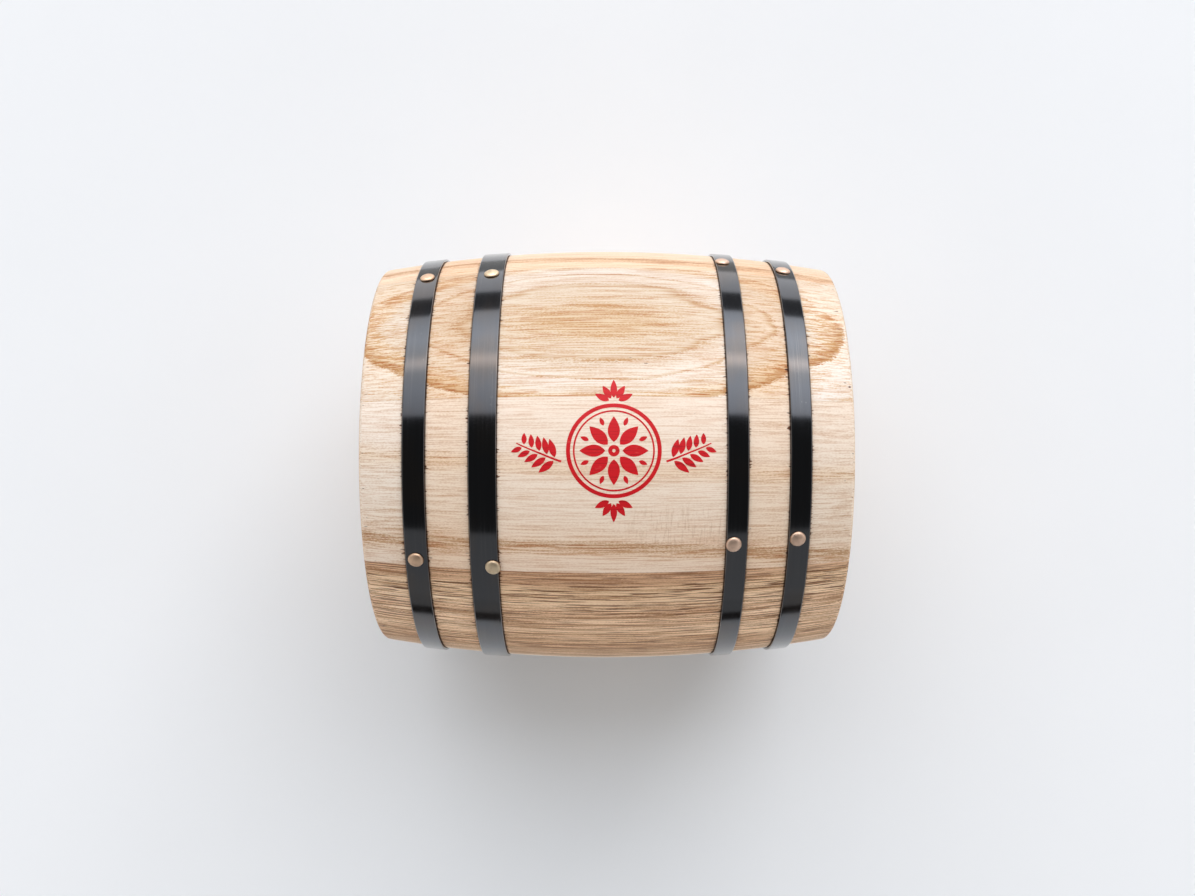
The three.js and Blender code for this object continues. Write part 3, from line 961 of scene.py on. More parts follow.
def grid_faces(rows, columns, path_closed, ring_closed, start=0):
    """Quads over a grid of points, with caps where the path is open."""
    def at(row, column):
        return start + row % rows * columns + column % columns

    faces = []
    for row in range(rows if path_closed else rows - 1):
        for column in range(columns if ring_closed else columns - 1):
            faces.append((
                at(row, column),
                at(row, column + 1),
                at(row + 1, column + 1),
                at(row + 1, column),
            ))
    if not path_closed:
        faces.append(tuple(at(0, column) for column in range(columns)))
        faces.append(tuple(at(rows - 1, column) for column in range(columns)))
    return faces


print("grid helpers ready")

# %% [markdown]
# One function covers every swept or turned piece with a skin over its grid. It joins doubled points,
# turns the faces outward and shades the piece smooth up to its sharp edges. The mesh can also store a
# value for each column of the grid, which a finish reads.

# %% Skins
SHARP_ANGLE = math.radians(32)
SAME_PLACE = 1e-7


def finish_mesh(name, mesh):
    """Tidy a mesh, shade it smooth up to its sharp edges and put it in the scene."""
    work = bmesh.new()
    work.from_mesh(mesh)
    bmesh.ops.remove_doubles(work, verts=work.verts, dist=SAME_PLACE)
    bmesh.ops.recalc_face_normals(work, faces=work.faces)
    work.to_mesh(mesh)
    work.free()
    mesh.shade_smooth()
    mesh.set_sharp_from_angle(angle=SHARP_ANGLE)
    return placed(name, mesh)


def skin(name, grid, path_closed=False, ring_closed=True, **column_values):
    """Piece over a grid of points, with rows along a path and columns round a ring."""
    faces = grid_faces(*grid.shape[:2], path_closed, ring_closed)
    mesh = plain_mesh(name, grid.reshape(-1, 3).tolist(), faces)
    for key, values in column_values.items():
        point_values = np.broadcast_to(values, grid.shape[:2]).ravel()
        mesh.attributes.new(key, "FLOAT", "POINT").data.foreach_set("value", point_values)
    return finish_mesh(name, mesh)


print("skin helpers ready")

# %% [markdown]
# The outline is swept through a stave's share of the circle. Points near a hoop sink by small random
# amounts, which leaves a frayed edge. A bump alone would vanish at the outline, so the points move. The
# mesh stores the nearness so that the finish can darken the wood there. Each stave then takes the place
# of its solid: it rides on the same body, so that the canister moves as the imported part does.

# %% Staves
JOINT_GAP = 0.02 * MM
STAVE_COLUMNS = 90
CRUSHED_DEPTH = 0.15 * MM
FRAY_SEED = 7


def stand_for(piece, node, finish):
    """Let a piece be seen in place of a solid, on the same body and with a finish."""
    piece.data.materials.append(finish)
    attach(piece, frame["nodes"][node]["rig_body"])
    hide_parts(node)


dice = random.Random(FRAY_SEED)
half_stave = stave_angle / 2 - JOINT_GAP / belly_radius
for number in range(1, STAVE_COUNT + 1):
    node = f"stave_{number}"
    angles = stave_middle(number) + np.linspace(-half_stave, half_stave, STAVE_COLUMNS)
    ragged = np.array([[dice.random() ** 2 for _ in outline] for _ in angles])
    radii = outline[:, 1] - CRUSHED_DEPTH * ragged * outline[:, 2]
    grid = around(outline[:, 0], radii, angles[:, None])
    stand_for(skin(f"{node}_finished", grid, near_hoop=outline[:, 2]), node, stave_woods[node])
print("staves:", STAVE_COUNT, "with", STAVE_COLUMNS, "rows of points each")

# %% [markdown]
# The hoops are strips of blackened steel. Rolling leaves fine streaks along the strip, handling rubs
# the edges bright, and heat leaves faint warm patches. Stretched noise gives the streaks: it changes
# fast along the barrel and hardly at all round it. The edge value comes from the mesh.

# %% Hoop steel
STEEL = (0.066, 0.069, 0.076, 1)
WARM_STEEL = (0.083, 0.074, 0.07, 1)
BARE_STEEL = (0.24, 0.23, 0.225, 1)


def hoop_steel():
    material = new_finish("black_steel")
    place = coordinates(material)
    streaks = noise(place, (5200, 24, 24), 3)
    patches = noise(place, (60, 45, 45), 3)
    specks = noise(place, (1400, 1400, 1400), 1)
    rubbed = times(stored(material, "edge"), rise(patches, 0.3, 0.75))
    bare_share = maths("MAXIMUM", rubbed, times(rise(specks, 0.76, 0.8), 0.4))
    worn_share = times(rise(streaks, 0.55, 0.7), 0.12)
    colour = mixed(rise(patches, 0.45, 0.7), STEEL, WARM_STEEL)
    colour = mixed(worn_share, colour, BARE_STEEL)
    colour = mixed(bare_share, colour, BARE_STEEL)
    return finished(
        material,
        Base_Color=colour,
        Metallic=1.0,
        Roughness=maths("ADD", ranged(streaks, 0.09, 0.15), ranged(patches, -0.01, 0.03)),
        Coat_Weight=0.4,
        Coat_Roughness=0.1,
        Normal=relief(streaks, 0.15, 0.02 * MM),
    )


black_steel = hoop_steel()
print("steel:", black_steel.name)

# %% [markdown]
# A hoop is one strip bent round the barrel. Its end rises over its start at the underside, where two
# rivets hold the lap. The strip is a straight cone, driven on until the edge that faces the barrel's
# middle bites, so its other edge stands a little proud. A closed ring would be simpler, but it has no
# lap, so the rounded section is swept through one turn and the lap.

# %% Hoops
HOOP_GAP = 0.1 * MM
HOOP_THICKNESS = 0.8 * MM
END_LIFT = 0.15 * MM
EDGE_ROUNDING, UNDERSIDE_ROUNDING = 0.3 * MM, 0.12 * MM
LAP_GAP = 0.1 * MM
LAP_START, LAP_ANGLE, RAMP_ANGLE = (math.radians(angle) for angle in (164.6, 30, 15))
HOOP_STEP = math.radians(1.5)


def hoop_section(low, high):
    """Section of a strip as (along, radius, edge)."""
    bite, end = (high, low) if high < 0 else (low, high)
    bite_radius, end_radius = wall_radius(bite), wall_radius(end) + END_LIFT
    top = HOOP_GAP + HOOP_THICKNESS
    inset = math.copysign(2 * EDGE_ROUNDING, end - bite)
    corners = [
        (end, HOOP_GAP, UNDERSIDE_ROUNDING),
        (bite, HOOP_GAP, UNDERSIDE_ROUNDING),
        (bite, top, EDGE_ROUNDING),
        (bite + inset, top, 0),
        (end - inset, top, 0),
        (end, top, EDGE_ROUNDING),
    ]
    section = []
    for x, height in rounded(corners):
        share = abs(x - bite) / (high - low)
        from_edge = min(x - low, high - x)
        edge = max(0.0, 1 - from_edge / EDGE_ROUNDING)
        section.append((x, bite_radius + share * (end_radius - bite_radius) + height, edge))
    return np.array(section)


hoop_sweep = 2 * math.pi + LAP_ANGLE
turned_by = np.linspace(0, hoop_sweep, round(hoop_sweep / HOOP_STEP) + 1)
climb = np.clip((LAP_ANGLE + RAMP_ANGLE - turned_by) / RAMP_ANGLE, 0, 1)
lift = climb * climb * (3 - 2 * climb) * (HOOP_THICKNESS + LAP_GAP)
for hoop in HOOPS:
    section = hoop_section(*hoop_span(hoop))
    radii = section[:, 1] + lift[:, None]
    grid = around(section[:, 0], radii, (LAP_START + turned_by)[:, None])
    stand_for(skin(f"{hoop}_hoop_finished", grid, edge=section[:, 2]), f"{hoop}_hoop", black_steel)
print("hoops:", [f"{(high - low) / MM:.1f} mm" for low, high in map(hoop_span, HOOPS)])

# %% [markdown]
# Four copper nails hold each hoop, and two steel rivets close its lap on the underside. All have a low
# domed head, so one profile serves: a shank and a flattened quarter round, turned about its own axis.
# The frame gives where each stands, because its middle lies on an axis that points straight out of
# the hoop. Copper tarnishes first at the foot of a head, and the shade where a head meets its hoop is
# painted there too, so the mesh stores how low each point is.

# %% Shape of nails and rivets
FASTENER_SIDES = 48
DOME_STEPS = 15
DOME_POWER = 2.2
# Share of a head's height that is darkened: tarnish, and painted shade where the head meets the hoop.
FOOT_SHARE = 0.55  # of a head's height
HAMMERED = 0.015  # share by which a head is out of round
HAMMER_TURN = 40  # radians to a mm along the barrel, so that heads differ


def fastener_place(node, head_height):
    """Seat of a fastener and the direction out of the hoop."""
    points = np.unique(np.round(solid_points(node), 7), axis=0)
    centre = points.mean(axis=0)
    radial = centre * (0, 1, 1) / np.hypot(centre[1], centre[2])
    out = radial - (2 * swell * centre[0], 0, 0)
    out /= np.linalg.norm(out)
    top = ((points - centre) @ out).max()
    return centre + (0, 0, axis_height) + out * (top - head_height), out


def domed_profile(shank, head):
    """Profile of a fastener as (from its axis, up), from the tip to the middle of the head."""
    turn = np.linspace(0, math.pi / 2, DOME_STEPS + 1)
    dome_out = head["radius"] * np.abs(np.cos(turn)) ** (2 / DOME_POWER)
    dome_up = head["height"] * np.sin(turn) ** (2 / DOME_POWER)
    dome_out[-1] = 0.0
    return np.array([*shank, *zip(dome_out, dome_up)])


def fastener(node, shank, head, finish):
    """Nail or rivet with a domed head, standing where its solid stands."""
    seat, out = fastener_place(node, head["height"])
    from_axis, up = domed_profile(shank, head).T
    side = np.cross(out, (1, 0, 0))
    side /= np.linalg.norm(side)
    ahead = np.cross(side, out)
    turns = full_turn(FASTENER_SIDES)[:, None]
    ways = np.cos(turns) * ahead + np.sin(turns) * side
    radii = from_axis * (1 + HAMMERED * np.sin(2 * turns + HAMMER_TURN * seat[0] / MM))
    grid = seat + radii[..., None] * ways[:, None, :] + up[:, None] * out
    lowness = np.clip(1 - up / (FOOT_SHARE * head["height"]), 0, 1)
    stand_for(skin(f"{node}_finished", grid, True, False, lowness=lowness), node, finish)


print("fasteners have", FASTENER_SIDES, "sides")

# %% [markdown]
# The nails of one hoop come from one batch, so each hoop has its own shade of copper. One material with a
# random shade for each nail would do too, but named shades stay the same in every run. A rivet takes the
# hoop's own steel.

# %% Nails and rivets
NAIL_HEAD = {"radius": 2.45 * MM, "height": 1.1 * MM}
RIVET_HEAD = {"radius": 2.5 * MM, "height": 1.0 * MM}
NAIL_SHANK = ((0.0, -7.5 * MM), (0.8 * MM, -5.5 * MM), (0.8 * MM, 0.0))
RIVET_SHANK = ((0.0, -1.7 * MM), (0.9 * MM, -1.7 * MM), (0.9 * MM, 0.0))
TARNISH = (0.26, 0.15, 0.09, 1)
COPPERS = {
    "base_end": (0.80, 0.56, 0.39, 1),
    "base_belly": (0.82, 0.66, 0.46, 1),
    "lid_belly": (0.86, 0.62, 0.48, 1),
    "lid_end": (0.84, 0.60, 0.46, 1),
}


def copper_finish(name, copper):
    material = new_finish(name)
    place = coordinates(material)
    stains = noise(place, (420, 420, 420), 4)
    scratches = noise(place, (900, 5200, 2600), 2)
    # Stains, and at the foot tarnish with painted shade where the head meets the hoop.
    tarnish_and_foot_shade = maths("MULTIPLY_ADD", rise(stains, 0.45, 0.7), 0.25, stored(material, "lowness"))
    return finished(
        material,
        Base_Color=mixed(tarnish_and_foot_shade, copper, TARNISH),
        Metallic=1.0,
        Roughness=ranged(stains, 0.4, 0.52),
        Normal=relief(scratches, 0.2, 0.03 * MM),
    )


for hoop in HOOPS:
    copper = copper_finish(f"{hoop}_copper", COPPERS[hoop])
    for number in range(1, 5):
        fastener(f"{hoop}_nail_{number}", NAIL_SHANK, NAIL_HEAD, copper)
    for number in (1, 2):
        fastener(f"{hoop}_rivet_{number}", RIVET_SHANK, RIVET_HEAD, black_steel)
print("nails: 16, rivets: 8, nail heads", 2 * NAIL_HEAD["radius"] / MM, "mm across")

# %% [markdown]
# A red print decorates the top. It is drawn flat in millimetres, as strips along a path with a width
# that changes, and then rolled onto the barrel as a film of ink a few hundredths of a millimetre thick.
# A film needs no cuts in the wood, and it crosses the joint between two staves.

# %% Strips of ink
PRINT_MIDDLE = (2.0 * MM, 1.5 * MM)
INK_UNDERSIDE, INK_TOP = 0.01 * MM, 0.035 * MM
INK_SECTION = [(side, INK_TOP) for side in (1, 0, -1)] + [(side, INK_UNDERSIDE) for side in (-1, 0, 1)]

print_points = []
print_faces = []


def ink_strip(path, half_widths, closed=False):
    """Add a strip of ink along a flat path in mm, with its half widths in mm."""
    if closed:
        ahead = np.roll(path, -1, axis=0) - np.roll(path, 1, axis=0)
    else:
        ahead = np.gradient(path, axis=0)
    ahead /= np.linalg.norm(ahead, axis=1)[:, None]
    aside = np.stack([-ahead[:, 1], ahead[:, 0]], axis=1)
    aside *= np.broadcast_to(half_widths, len(path))[:, None]
    flat = np.stack([path + side * aside for side, _ in INK_SECTION], axis=1) * MM + PRINT_MIDDLE
    x, arc = flat[..., 0], flat[..., 1]
    heights = np.array([height for _, height in INK_SECTION])
    grid = around(x, wall_radius(x) + heights, arc / belly_radius)
    print_faces.extend(grid_faces(len(path), len(INK_SECTION), closed, True, len(print_points)))
    print_points.extend(grid.reshape(-1, 3).tolist())


print("ink", round(INK_TOP / MM, 3), "mm thick")

# %% [markdown]
# The ornament's middle is an eight-petal rosette in a double ring. Its petals and all other leaves have
# the same pointed form. Curve objects could draw them one by one, but one function keeps them alike.

# %% Rosette
LEAF_STEPS = 10
LEAF_TIP = 0.06  # half width in mm
LEAF_LEAN, LEAF_FULLNESS = 0.85, 0.9  # powers that move its widest place towards the foot and fill it out
RINGS = ((13.6, 0.6), (11.9, 0.25), (1.1, 0.6))  # radius and half width in mm
RING_SIDES = 96
PETALS = 8
PETAL = {"foot": 2.6, "length": 7.6, "half_width": 1.75}
BUD = {"foot": 8.1, "length": 2.6, "half_width": 0.6}


def leaf(start, direction, foot, length, half_width):
    """Pointed leaf in mm, whose foot lies off a start in a direction of so many degrees from +X."""
    share = np.linspace(0, 1, LEAF_STEPS + 1)
    way = np.array([math.cos(math.radians(direction)), math.sin(math.radians(direction))])
    widths = LEAF_TIP + half_width * np.sin(math.pi * share**LEAF_LEAN) ** LEAF_FULLNESS
    ink_strip(np.asarray(start) + (foot + share[:, None] * length) * way, widths)


ring_turns = full_turn(RING_SIDES)[:, None]
for radius, half_width in RINGS:
    ink_strip(radius * np.hstack([np.cos(ring_turns), np.sin(ring_turns)]), half_width, closed=True)
for i in range(PETALS):
    direction = 360 * i / PETALS
    leaf((0, 0), direction, **PETAL)
    leaf((0, 0), direction + 180 / PETALS, **BUD)
print("rosette:", len(print_faces), "faces")

# %% [markdown]
# A fan of leaves lies above and below the rosette, and a leafy sprig on each side. The leaves of a sprig
# get shorter towards its tip and turn up with the stem. In the end all strips become one mesh, because
# separate pieces for each leaf would only make the model harder to handle.

# %% Fans and sprigs
FAN_LEAVES, SPRIG_LEAVES = 5, 5
FAN_RISE, FAN_SPREAD = 14.4, 64
FAN_LEAF = {"foot": 1.6, "half_width": 0.95}
FAN_LENGTH, FAN_MIDDLE_LENGTH = 4.6, 5.6
STEM_START, STEM_REACH, STEM_POINTS = 15.6, 13.4, 24
STEM_CLIMB, STEM_DROP, STEM_ARCH = 5.5, 3.2, 1.2
STEM_HALF_WIDTHS = (0.32, 0.18)
LEAF_POINTS = slice(3, None, 4)  # points of a stem that bear leaves
FIRST_LEAF, LAST_LEAF = (8, 5.6, 1.0), (24, 3.4, 0.72)  # tilt, length and half width on a sprig
LEAF_LIFTS = (66, -46)
LEAF_STALK = 0.75

for up in (1, -1):
    for tilt in np.linspace(-FAN_SPREAD, FAN_SPREAD, FAN_LEAVES):
        length = FAN_LENGTH if tilt else FAN_MIDDLE_LENGTH
        leaf((0, up * FAN_RISE), up * (90 + tilt), length=length, **FAN_LEAF)
for side in (1, -1):
    share = np.linspace(0, 1, STEM_POINTS)
    height = STEM_CLIMB * share**2 - STEM_DROP + STEM_ARCH * np.sin(math.pi * share)
    stem = np.stack([side * (STEM_START + STEM_REACH * share), height], axis=1)
    ink_strip(stem, np.linspace(*STEM_HALF_WIDTHS, STEM_POINTS))
    sprig_leaves = np.linspace(FIRST_LEAF, LAST_LEAF, SPRIG_LEAVES)
    for place, (tilt, length, half_width) in zip(stem[LEAF_POINTS], sprig_leaves):
        for lift in LEAF_LIFTS:
            bearing = 90 + side * (tilt + lift - 90)
            leaf(place, bearing, LEAF_STALK, length, half_width)

red_print = finish_mesh("red_print", plain_mesh("red_print", print_points, print_faces))
print("print:", len(print_faces), "faces")

# %% [markdown]
# Ink on bare wood sinks in along the fibres, so it is deeper in fine lines and thin in a few spots,
# where the wood shows through as a paler red. A see-through film could show the real wood, but mixed
# colours look the same and need no transparency. The print rides on the barrel and stands for no solid.

# %% Ink
INK, DEEP_INK, THIN_INK = paint(205, 22, 32), paint(158, 12, 22), paint(226, 120, 104)


def ink_finish():
    material = new_finish("red_ink")
    place = coordinates(material)
    fibres = noise(place, (70, 2600, 2600), 3)
    thin = noise(place, (380, 900, 900), 2)
    colour = mixed(rise(fibres, 0.52, 0.72), INK, DEEP_INK)
    return finished(
        material,
        Base_Color=mixed(times(rise(thin, 0.62, 0.78), 0.18), colour, THIN_INK),
        Roughness=ranged(fibres, 0.42, 0.6),
        Specular_IOR_Level=0.3,
        Normal=relief(fibres, 0.2, 0.05 * MM),
    )


red_print.data.materials.append(ink_finish())
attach(red_print, frame["nodes"]["stave_1"]["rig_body"])
print("ink:", red_print.data.materials[0].name)

# %% [markdown]
# The base and the lid are straight-grained boards with the grain across the end of the barrel. The
# same wood recipe serves, turned so that its grain runs along Y. Each board takes its own seed, so
# that the joints between boards show.

# %% Head woods
ALONG_Y = (0, 0, -math.pi / 2)
HEAD_ZONES = [
    (5.0, (222, 194, 160), 0.3, 0.4),
    (22.0, (230, 206, 176), 0.2, 0.3),
    (34.0, (216, 184, 148), 0.5, 0.7),
    (36.0, (232, 210, 182), 0.2, 0.3),
    (52.0, (226, 200, 168), 0.3, 0.4),
    (60.0, (212, 180, 144), 0.5, 0.7),
    (62.0, (232, 210, 182), 0.2, 0.3),
    (84.0, (224, 198, 166), 0.3, 0.4),
    (97.0, (214, 182, 146), 0.5, 0.7),
    (99.0, (231, 208, 179), 0.2, 0.3),
    (136.0, (224, 198, 166), 0.3, 0.4),
]
HEAD_KIND = {
    **WOOD_KINDS["tan_wood"],
    "zones": HEAD_ZONES,
    "between_hoops": WHITE,
    "past_hoops": (WHITE, WHITE),
    "bend": 0.0,
    "tint_and_shade_across": (1.0, 1.0),
    "soft_side": None,
}


def head_wood(name, seed, kind=HEAD_KIND):
    return wood_finish(name, ALONG_Y, kind, seed, end_axis="Y")


print("head wood layers:", len(HEAD_ZONES))

# %% [markdown]
# The base is a round head sawn from three boards. Each board is the part of a disc between two straight
# edges, so its outline is two arcs. It is built flat and thickened along the axis, and a bevel modifier
# breaks its edges, which draws the joints as fine grooves.

# %% Base boards
BOARD_SEEDS = {1: 21, 2: 22, 3: 23}
BOARD_ARC_POINTS = 24
BEVEL_WIDTH, BEVEL_SEGMENTS, BEVEL_ANGLE = 0.45 * MM, 3, math.radians(40)


def softened(piece):
    """Round a piece's sharp edges."""
    bevel = piece.modifiers.new("softened", "BEVEL")
    bevel.width = BEVEL_WIDTH
    bevel.segments = BEVEL_SEGMENTS
    bevel.limit_method = "ANGLE"
    bevel.angle_limit = BEVEL_ANGLE
    return piece


board_boxes = {number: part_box(f"base_board_{number}") for number in BOARD_SEEDS}
base_radius = max(high.z for _, high in board_boxes.values()) - axis_height
for number, (low, high) in board_boxes.items():
    node = f"base_board_{number}"
    edge_shares = (np.array([low.z, high.z]) - axis_height) / base_radius
    arc = np.linspace(*np.arcsin(np.clip(edge_shares, -1, 1)), BOARD_ARC_POINTS)
    y = base_radius * np.concatenate([np.cos(arc), -np.cos(arc[::-1])])
    z = axis_height + base_radius * np.concatenate([np.sin(arc), np.sin(arc[::-1])])
    grid = np.stack([np.stack([np.full_like(y, x), y, z], axis=-1) for x in (low.x, high.x)])
    board = softened(skin(f"{node}_finished", grid))
    stand_for(board, node, head_wood(f"{node}_wood", BOARD_SEEDS[number]))
print("base radius", round(base_radius / MM, 2), "mm")

# %% [markdown]
# Hidden dowels pin the boards edge to edge. A dowel is a short upright rod with its ends tapered. A
# cylinder primitive with a bevel would do, but four rings of points and two caps need no modifier.

# %% Base dowels
DOWEL_SIDES = 32
DOWEL_TAPER, DOWEL_TIP = 0.4 * MM, 0.8  # length of an end's taper, and the share of the radius left there
DOWEL_KIND = {**WOOD_KINDS["pale_wood"], "bend": 0.0}
DOWEL_SEED = 31
ALONG_Z = (0, math.pi / 2, 0)

dowel_wood = wood_finish("dowel_wood", ALONG_Z, DOWEL_KIND, DOWEL_SEED, end_axis="Z")
dowel_turns = full_turn(DOWEL_SIDES)
for number in range(1, 5):
    node = f"base_dowel_{number}"
    low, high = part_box(node)
    middle = (low + high) / 2
    heights = np.array([low.z, low.z + DOWEL_TAPER, high.z - DOWEL_TAPER, high.z])[:, None]
    radii = np.array([DOWEL_TIP, 1, 1, DOWEL_TIP])[:, None] * (high.x - low.x) / 2
    grid = np.stack(np.broadcast_arrays(
        middle.x + radii * np.cos(dowel_turns),
        middle.y + radii * np.sin(dowel_turns),
        heights,
    ), axis=-1)
    stand_for(skin(f"{node}_finished", grid), node, dowel_wood)
print("dowels: 4")

# %% [markdown]
# The mouth ring, the lid and the knob come off a lathe. A Screw modifier could turn them, but the grid of
# points serves again: each column is one point of an outline, carried once round the axis.

# %% Helpers for turned pieces
TURNED_SIDES = 144


def turned(name, outline, sides=TURNED_SIDES, aside=(0, 0, 0)):
    """Piece turned about the barrel's axis, or beside it, from an outline of (along, radius)."""
    along = np.array([point[0] for point in outline])
    radii = np.array([point[1] for point in outline])
    ring_closed = radii[0] > SAME_PLACE
    return skin(name, around(along, radii, full_turn(sides)[:, None]) + aside, True, ring_closed)


print("turned pieces have", TURNED_SIDES, "sides")

# %% [markdown]
# The mouth ring sits in the groove at the lid end. Its outline is a rectangle with rounded corners, and
# its two radii are measured on the solid, so that it fits the groove.

# %% Mouth ring
RING_SEED = 25


def reach(node):
    """Largest and smallest radius of a turned solid."""
    points = solid_points(node)
    radii = np.hypot(points[:, 1], points[:, 2])
    return radii.max(), radii.min()


ring_radius, mouth_radius = reach("mouth_ring")
mouth_ring = turned("mouth_ring_finished", rounded([
    (ring_low.x, mouth_radius, 0.6 * MM),
    (ring_high.x, mouth_radius, 0.6 * MM),
    (ring_high.x, ring_radius, 0.3 * MM),
    (ring_low.x, ring_radius, 0.3 * MM),
]))
stand_for(mouth_ring, "mouth_ring", head_wood("mouth_ring_wood", RING_SEED))
print(f"mouth {2 * mouth_radius / MM:.1f} mm across")

# %% [markdown]
# The lid's panel lies on the mouth ring inside the rim, and the plug under it goes into the mouth, with a
# groove for the seal in its edge. Both outlines start and end on the axis, so they need no caps.

# %% Lid panel and plug
SEAL_FIT = 0.25 * MM
PLUG_CHAMFER = 1.5 * MM
PANEL_SEED, PLUG_SEED = 26, 27

panel_low, panel_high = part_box("lid_panel")
panel_radius, _ = reach("lid_panel")
lid_panel = turned("lid_panel_finished", rounded([
    (panel_low.x, 0.0, 0),
    (panel_low.x, panel_radius, 0.4 * MM),
    (panel_high.x, panel_radius, 1.3 * MM),
    (panel_high.x, 0.0, 0),
], closed=False))
stand_for(lid_panel, "lid_panel", head_wood("lid_panel_wood", PANEL_SEED))

plug_low, plug_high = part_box("lid_plug")
plug_radius, _ = reach("lid_plug")
seal_low, seal_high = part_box("lid_seal")
seal_out, seal_in = reach("lid_seal")
lid_plug = turned("lid_plug_finished", rounded([
    (plug_low.x, 0.0, 0),
    (plug_low.x, plug_radius - PLUG_CHAMFER, 0.5 * MM),
    (plug_low.x + PLUG_CHAMFER, plug_radius, 0.5 * MM),
    (seal_low.x - SEAL_FIT, plug_radius, 0.2 * MM),
    (seal_low.x - SEAL_FIT, seal_in - SEAL_FIT, 0),
    (seal_high.x + SEAL_FIT, seal_in - SEAL_FIT, 0),
    (seal_high.x + SEAL_FIT, plug_radius, 0.2 * MM),
    (plug_high.x, plug_radius, 0.2 * MM),
    (plug_high.x, 0.0, 0),
], closed=False))
stand_for(lid_plug, "lid_plug", head_wood("lid_plug_wood", PLUG_SEED))
print(f"panel {2 * panel_radius / MM:.1f} mm and plug {2 * plug_radius / MM:.1f} mm across")

# %% [markdown]
# A silicone ring in the plug's groove grips the mouth. A torus could stand for it, but its outer edge is
# a low ridge, so it is turned from an outline too. Silicone lets a little light in, which subsurface
# scattering shows.

# %% Seal


def silicone_finish():
    material = new_finish("silicone")
    cloud = noise(coordinates(material), (160, 160, 160), 3)
    return finished(
        material,
        Base_Color=mixed(cloud, paint(214, 211, 203), paint(228, 226, 220)),
        Roughness=ranged(cloud, 0.42, 0.55),
        Subsurface_Weight=0.2,
        Normal=relief(cloud, 0.1, 0.05 * MM),
    )


lid_seal = turned("lid_seal_finished", rounded([
    (seal_low.x, seal_in, 0.3 * MM),
    (seal_low.x, plug_radius, 0.3 * MM),
    ((seal_low.x + seal_high.x) / 2, seal_out, 1.0 * MM),
    (seal_high.x, plug_radius, 0.3 * MM),
    (seal_high.x, seal_in, 0.3 * MM),
]))
stand_for(lid_seal, "lid_seal", silicone_finish())
print(f"seal {2 * seal_out / MM:.1f} mm across")

# %% [markdown]
# The knob stays below the rim, so it is low: a foot, a neck for the fingertips to hook under, and a
# wide crowned top. It is turned from the same tan wood as the staves, with its grain along Y.

# %% Knob
KNOB_FOOT_RADIUS, KNOB_NECK_RADIUS = 9 * MM, 7 * MM
KNOB_SEED = 28
KNOB_ZONES = [
    (56.0, (206, 172, 134), 0.4, 0.6),
    (62.0, (218, 188, 152), 0.3, 0.5),
    (68.0, (208, 175, 137), 0.4, 0.7),
    (70.5, (222, 194, 160), 0.3, 0.4),
    (77.0, (212, 180, 143), 0.4, 0.6),
    (86.0, (220, 191, 156), 0.3, 0.5),
]
knob_low, knob_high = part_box("lid_knob")
knob_radius, _ = reach("lid_knob")
lid_knob = turned("lid_knob_finished", rounded([
    (knob_low.x, 0.0, 0),
    (knob_low.x, KNOB_FOOT_RADIUS, 0.3 * MM),
    (knob_low.x + 1.0 * MM, KNOB_FOOT_RADIUS, 0.4 * MM),
    (knob_low.x + 2.0 * MM, KNOB_NECK_RADIUS, 1.0 * MM),
    (knob_high.x - 4.0 * MM, KNOB_NECK_RADIUS, 0.8 * MM),
    (knob_high.x - 2.9 * MM, knob_radius, 0.9 * MM),
    (knob_high.x - 1.0 * MM, knob_radius, 1.0 * MM),
    (knob_high.x - 0.2 * MM, 0.45 * knob_radius, 6.0 * MM),
    (knob_high.x, 0.0, 0),
], closed=False))
knob_wood = head_wood("knob_wood", KNOB_SEED, {**HEAD_KIND, "zones": KNOB_ZONES})
stand_for(lid_knob, "lid_knob", knob_wood)
print(f"knob {2 * knob_radius / MM:.1f} mm across")

# %% [markdown]
# Four countersunk screws hold the lid together from inside: one in the knob and three round it. The
# cross in each head is cut with a boolean, which is the simplest way to a clean recess. Two bars that
# taper as they sink in make the cutter.

# %% Cross recess
CROSS_DEPTH, CROSS_WIDTH = 1.3 * MM, 0.75 * MM
CROSS_TAPER = 0.55  # of a bar's size, at the bottom of the recess
CUTTER_RISE = 1 * MM
BAR_FACES = ((3, 2, 1, 0), (4, 5, 6, 7), (0, 1, 5, 4), (1, 2, 6, 5), (2, 3, 7, 6), (3, 0, 4, 7))


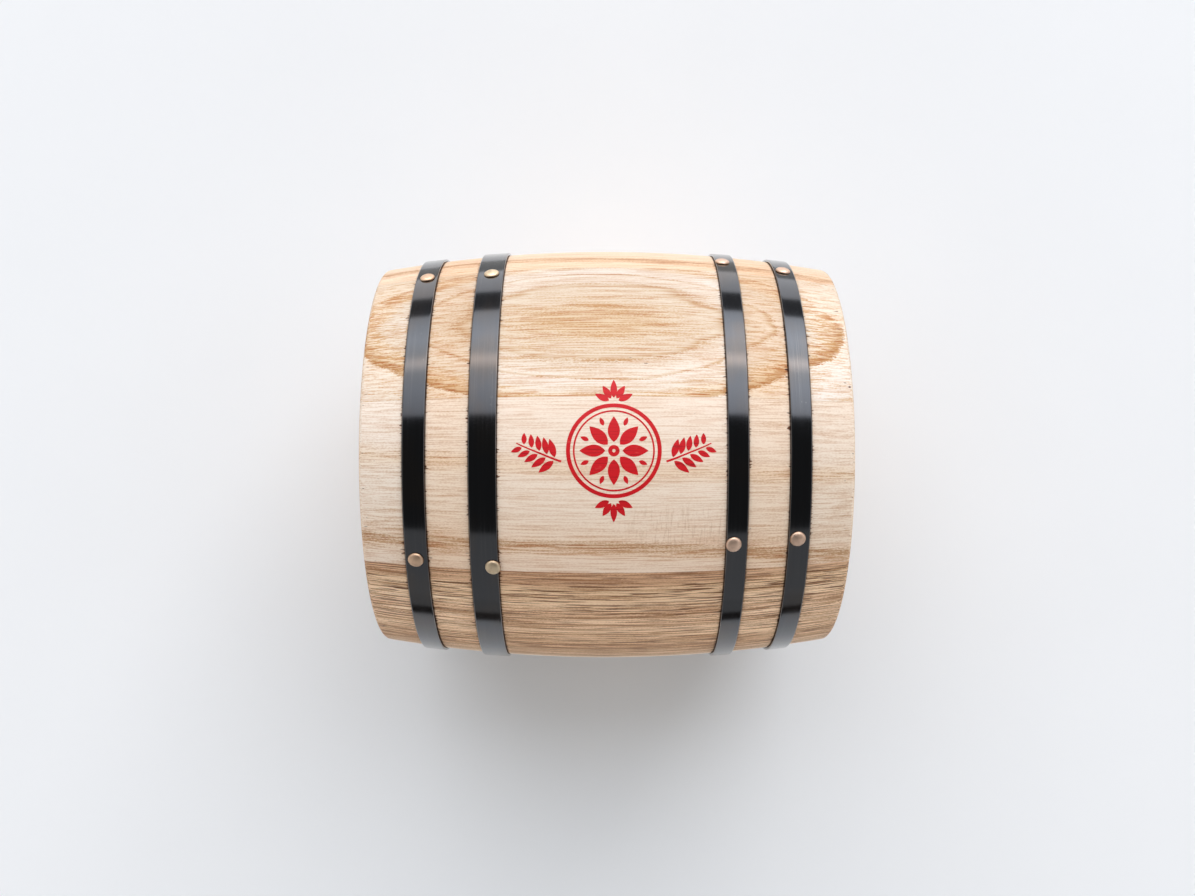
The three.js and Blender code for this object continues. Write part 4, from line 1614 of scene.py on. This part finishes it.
def cross_cutter(x, y, z, reach_out):
    """Two crossed bars that sink into a screw head from the -X side."""
    corners = []
    faces = []
    for wide, tall in ((reach_out, CROSS_WIDTH / 2), (CROSS_WIDTH / 2, reach_out)):
        faces += [tuple(len(corners) + i for i in face) for face in BAR_FACES]
        for along, share in ((x - CUTTER_RISE, 1.0), (x + CROSS_DEPTH, CROSS_TAPER)):
            for side, up in ((-1, -1), (1, -1), (1, 1), (-1, 1)):
                corners.append((along, y + side * wide * share, z + up * tall * share))
    return placed("cross", plain_mesh("cross", corners, faces))


def carved(piece, cutter):
    """Cut a piece with another, which is then deleted."""
    cut = piece.modifiers.new("carved", "BOOLEAN")
    cut.object = cutter
    cut.solver = "EXACT"
    cut.use_self = True
    bpy.context.view_layer.update()
    drawn = piece.evaluated_get(bpy.context.evaluated_depsgraph_get())
    mesh = bpy.data.meshes.new_from_object(drawn)
    piece.modifiers.clear()
    piece.data = mesh
    bpy.data.objects.remove(cutter)
    mesh.set_sharp_from_angle(angle=SHARP_ANGLE)


print("recess", round(CROSS_DEPTH / MM, 1), "mm deep")

# %% [markdown]
# A screw's head and length are read from its solid's box. It is turned like the lid, but about its own
# axis beside the barrel's, and then carved.

# %% Lid screws
SCREW_TIP = 2 * MM
CONE_START, HEAD_EDGE, HEAD_CHAMFER = 0.2 * MM, 0.25 * MM, 0.1 * MM
SHANK_SHARE, CROSS_SHARE = 0.5, 0.62  # of the head's radius


def screw_finish():
    material = new_finish("screw_steel")
    place = coordinates(material)
    grain = noise(place, (300, 2600, 2600), 3)
    stains = noise(place, (240, 240, 240), 3)
    return finished(
        material,
        Base_Color=mixed(stains, (0.56, 0.55, 0.52, 1), (0.70, 0.69, 0.66, 1)),
        Metallic=1.0,
        Roughness=ranged(grain, 0.24, 0.42),
        Normal=relief(grain, 0.15, 0.02 * MM),
    )


screw_steel = screw_finish()
for node in ("knob_screw", "lid_screw_1", "lid_screw_2", "lid_screw_3"):
    low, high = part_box(node)
    _, y, z = (low + high) / 2
    head = (high.z - low.z) / 2
    shank = SHANK_SHARE * head
    profile = [
        (high.x, 0.0),
        (high.x - SCREW_TIP, shank),
        (low.x + CONE_START + head - shank, shank),
        (low.x + HEAD_EDGE, head),
        (low.x, head - HEAD_CHAMFER),
        (low.x, 0.0),
    ]
    screw = turned(f"{node}_finished", profile, FASTENER_SIDES, aside=(0, y, z - axis_height))
    carved(screw, cross_cutter(low.x, y, z, CROSS_SHARE * head))
    stand_for(screw, node, screw_steel)
print("screws: 4")
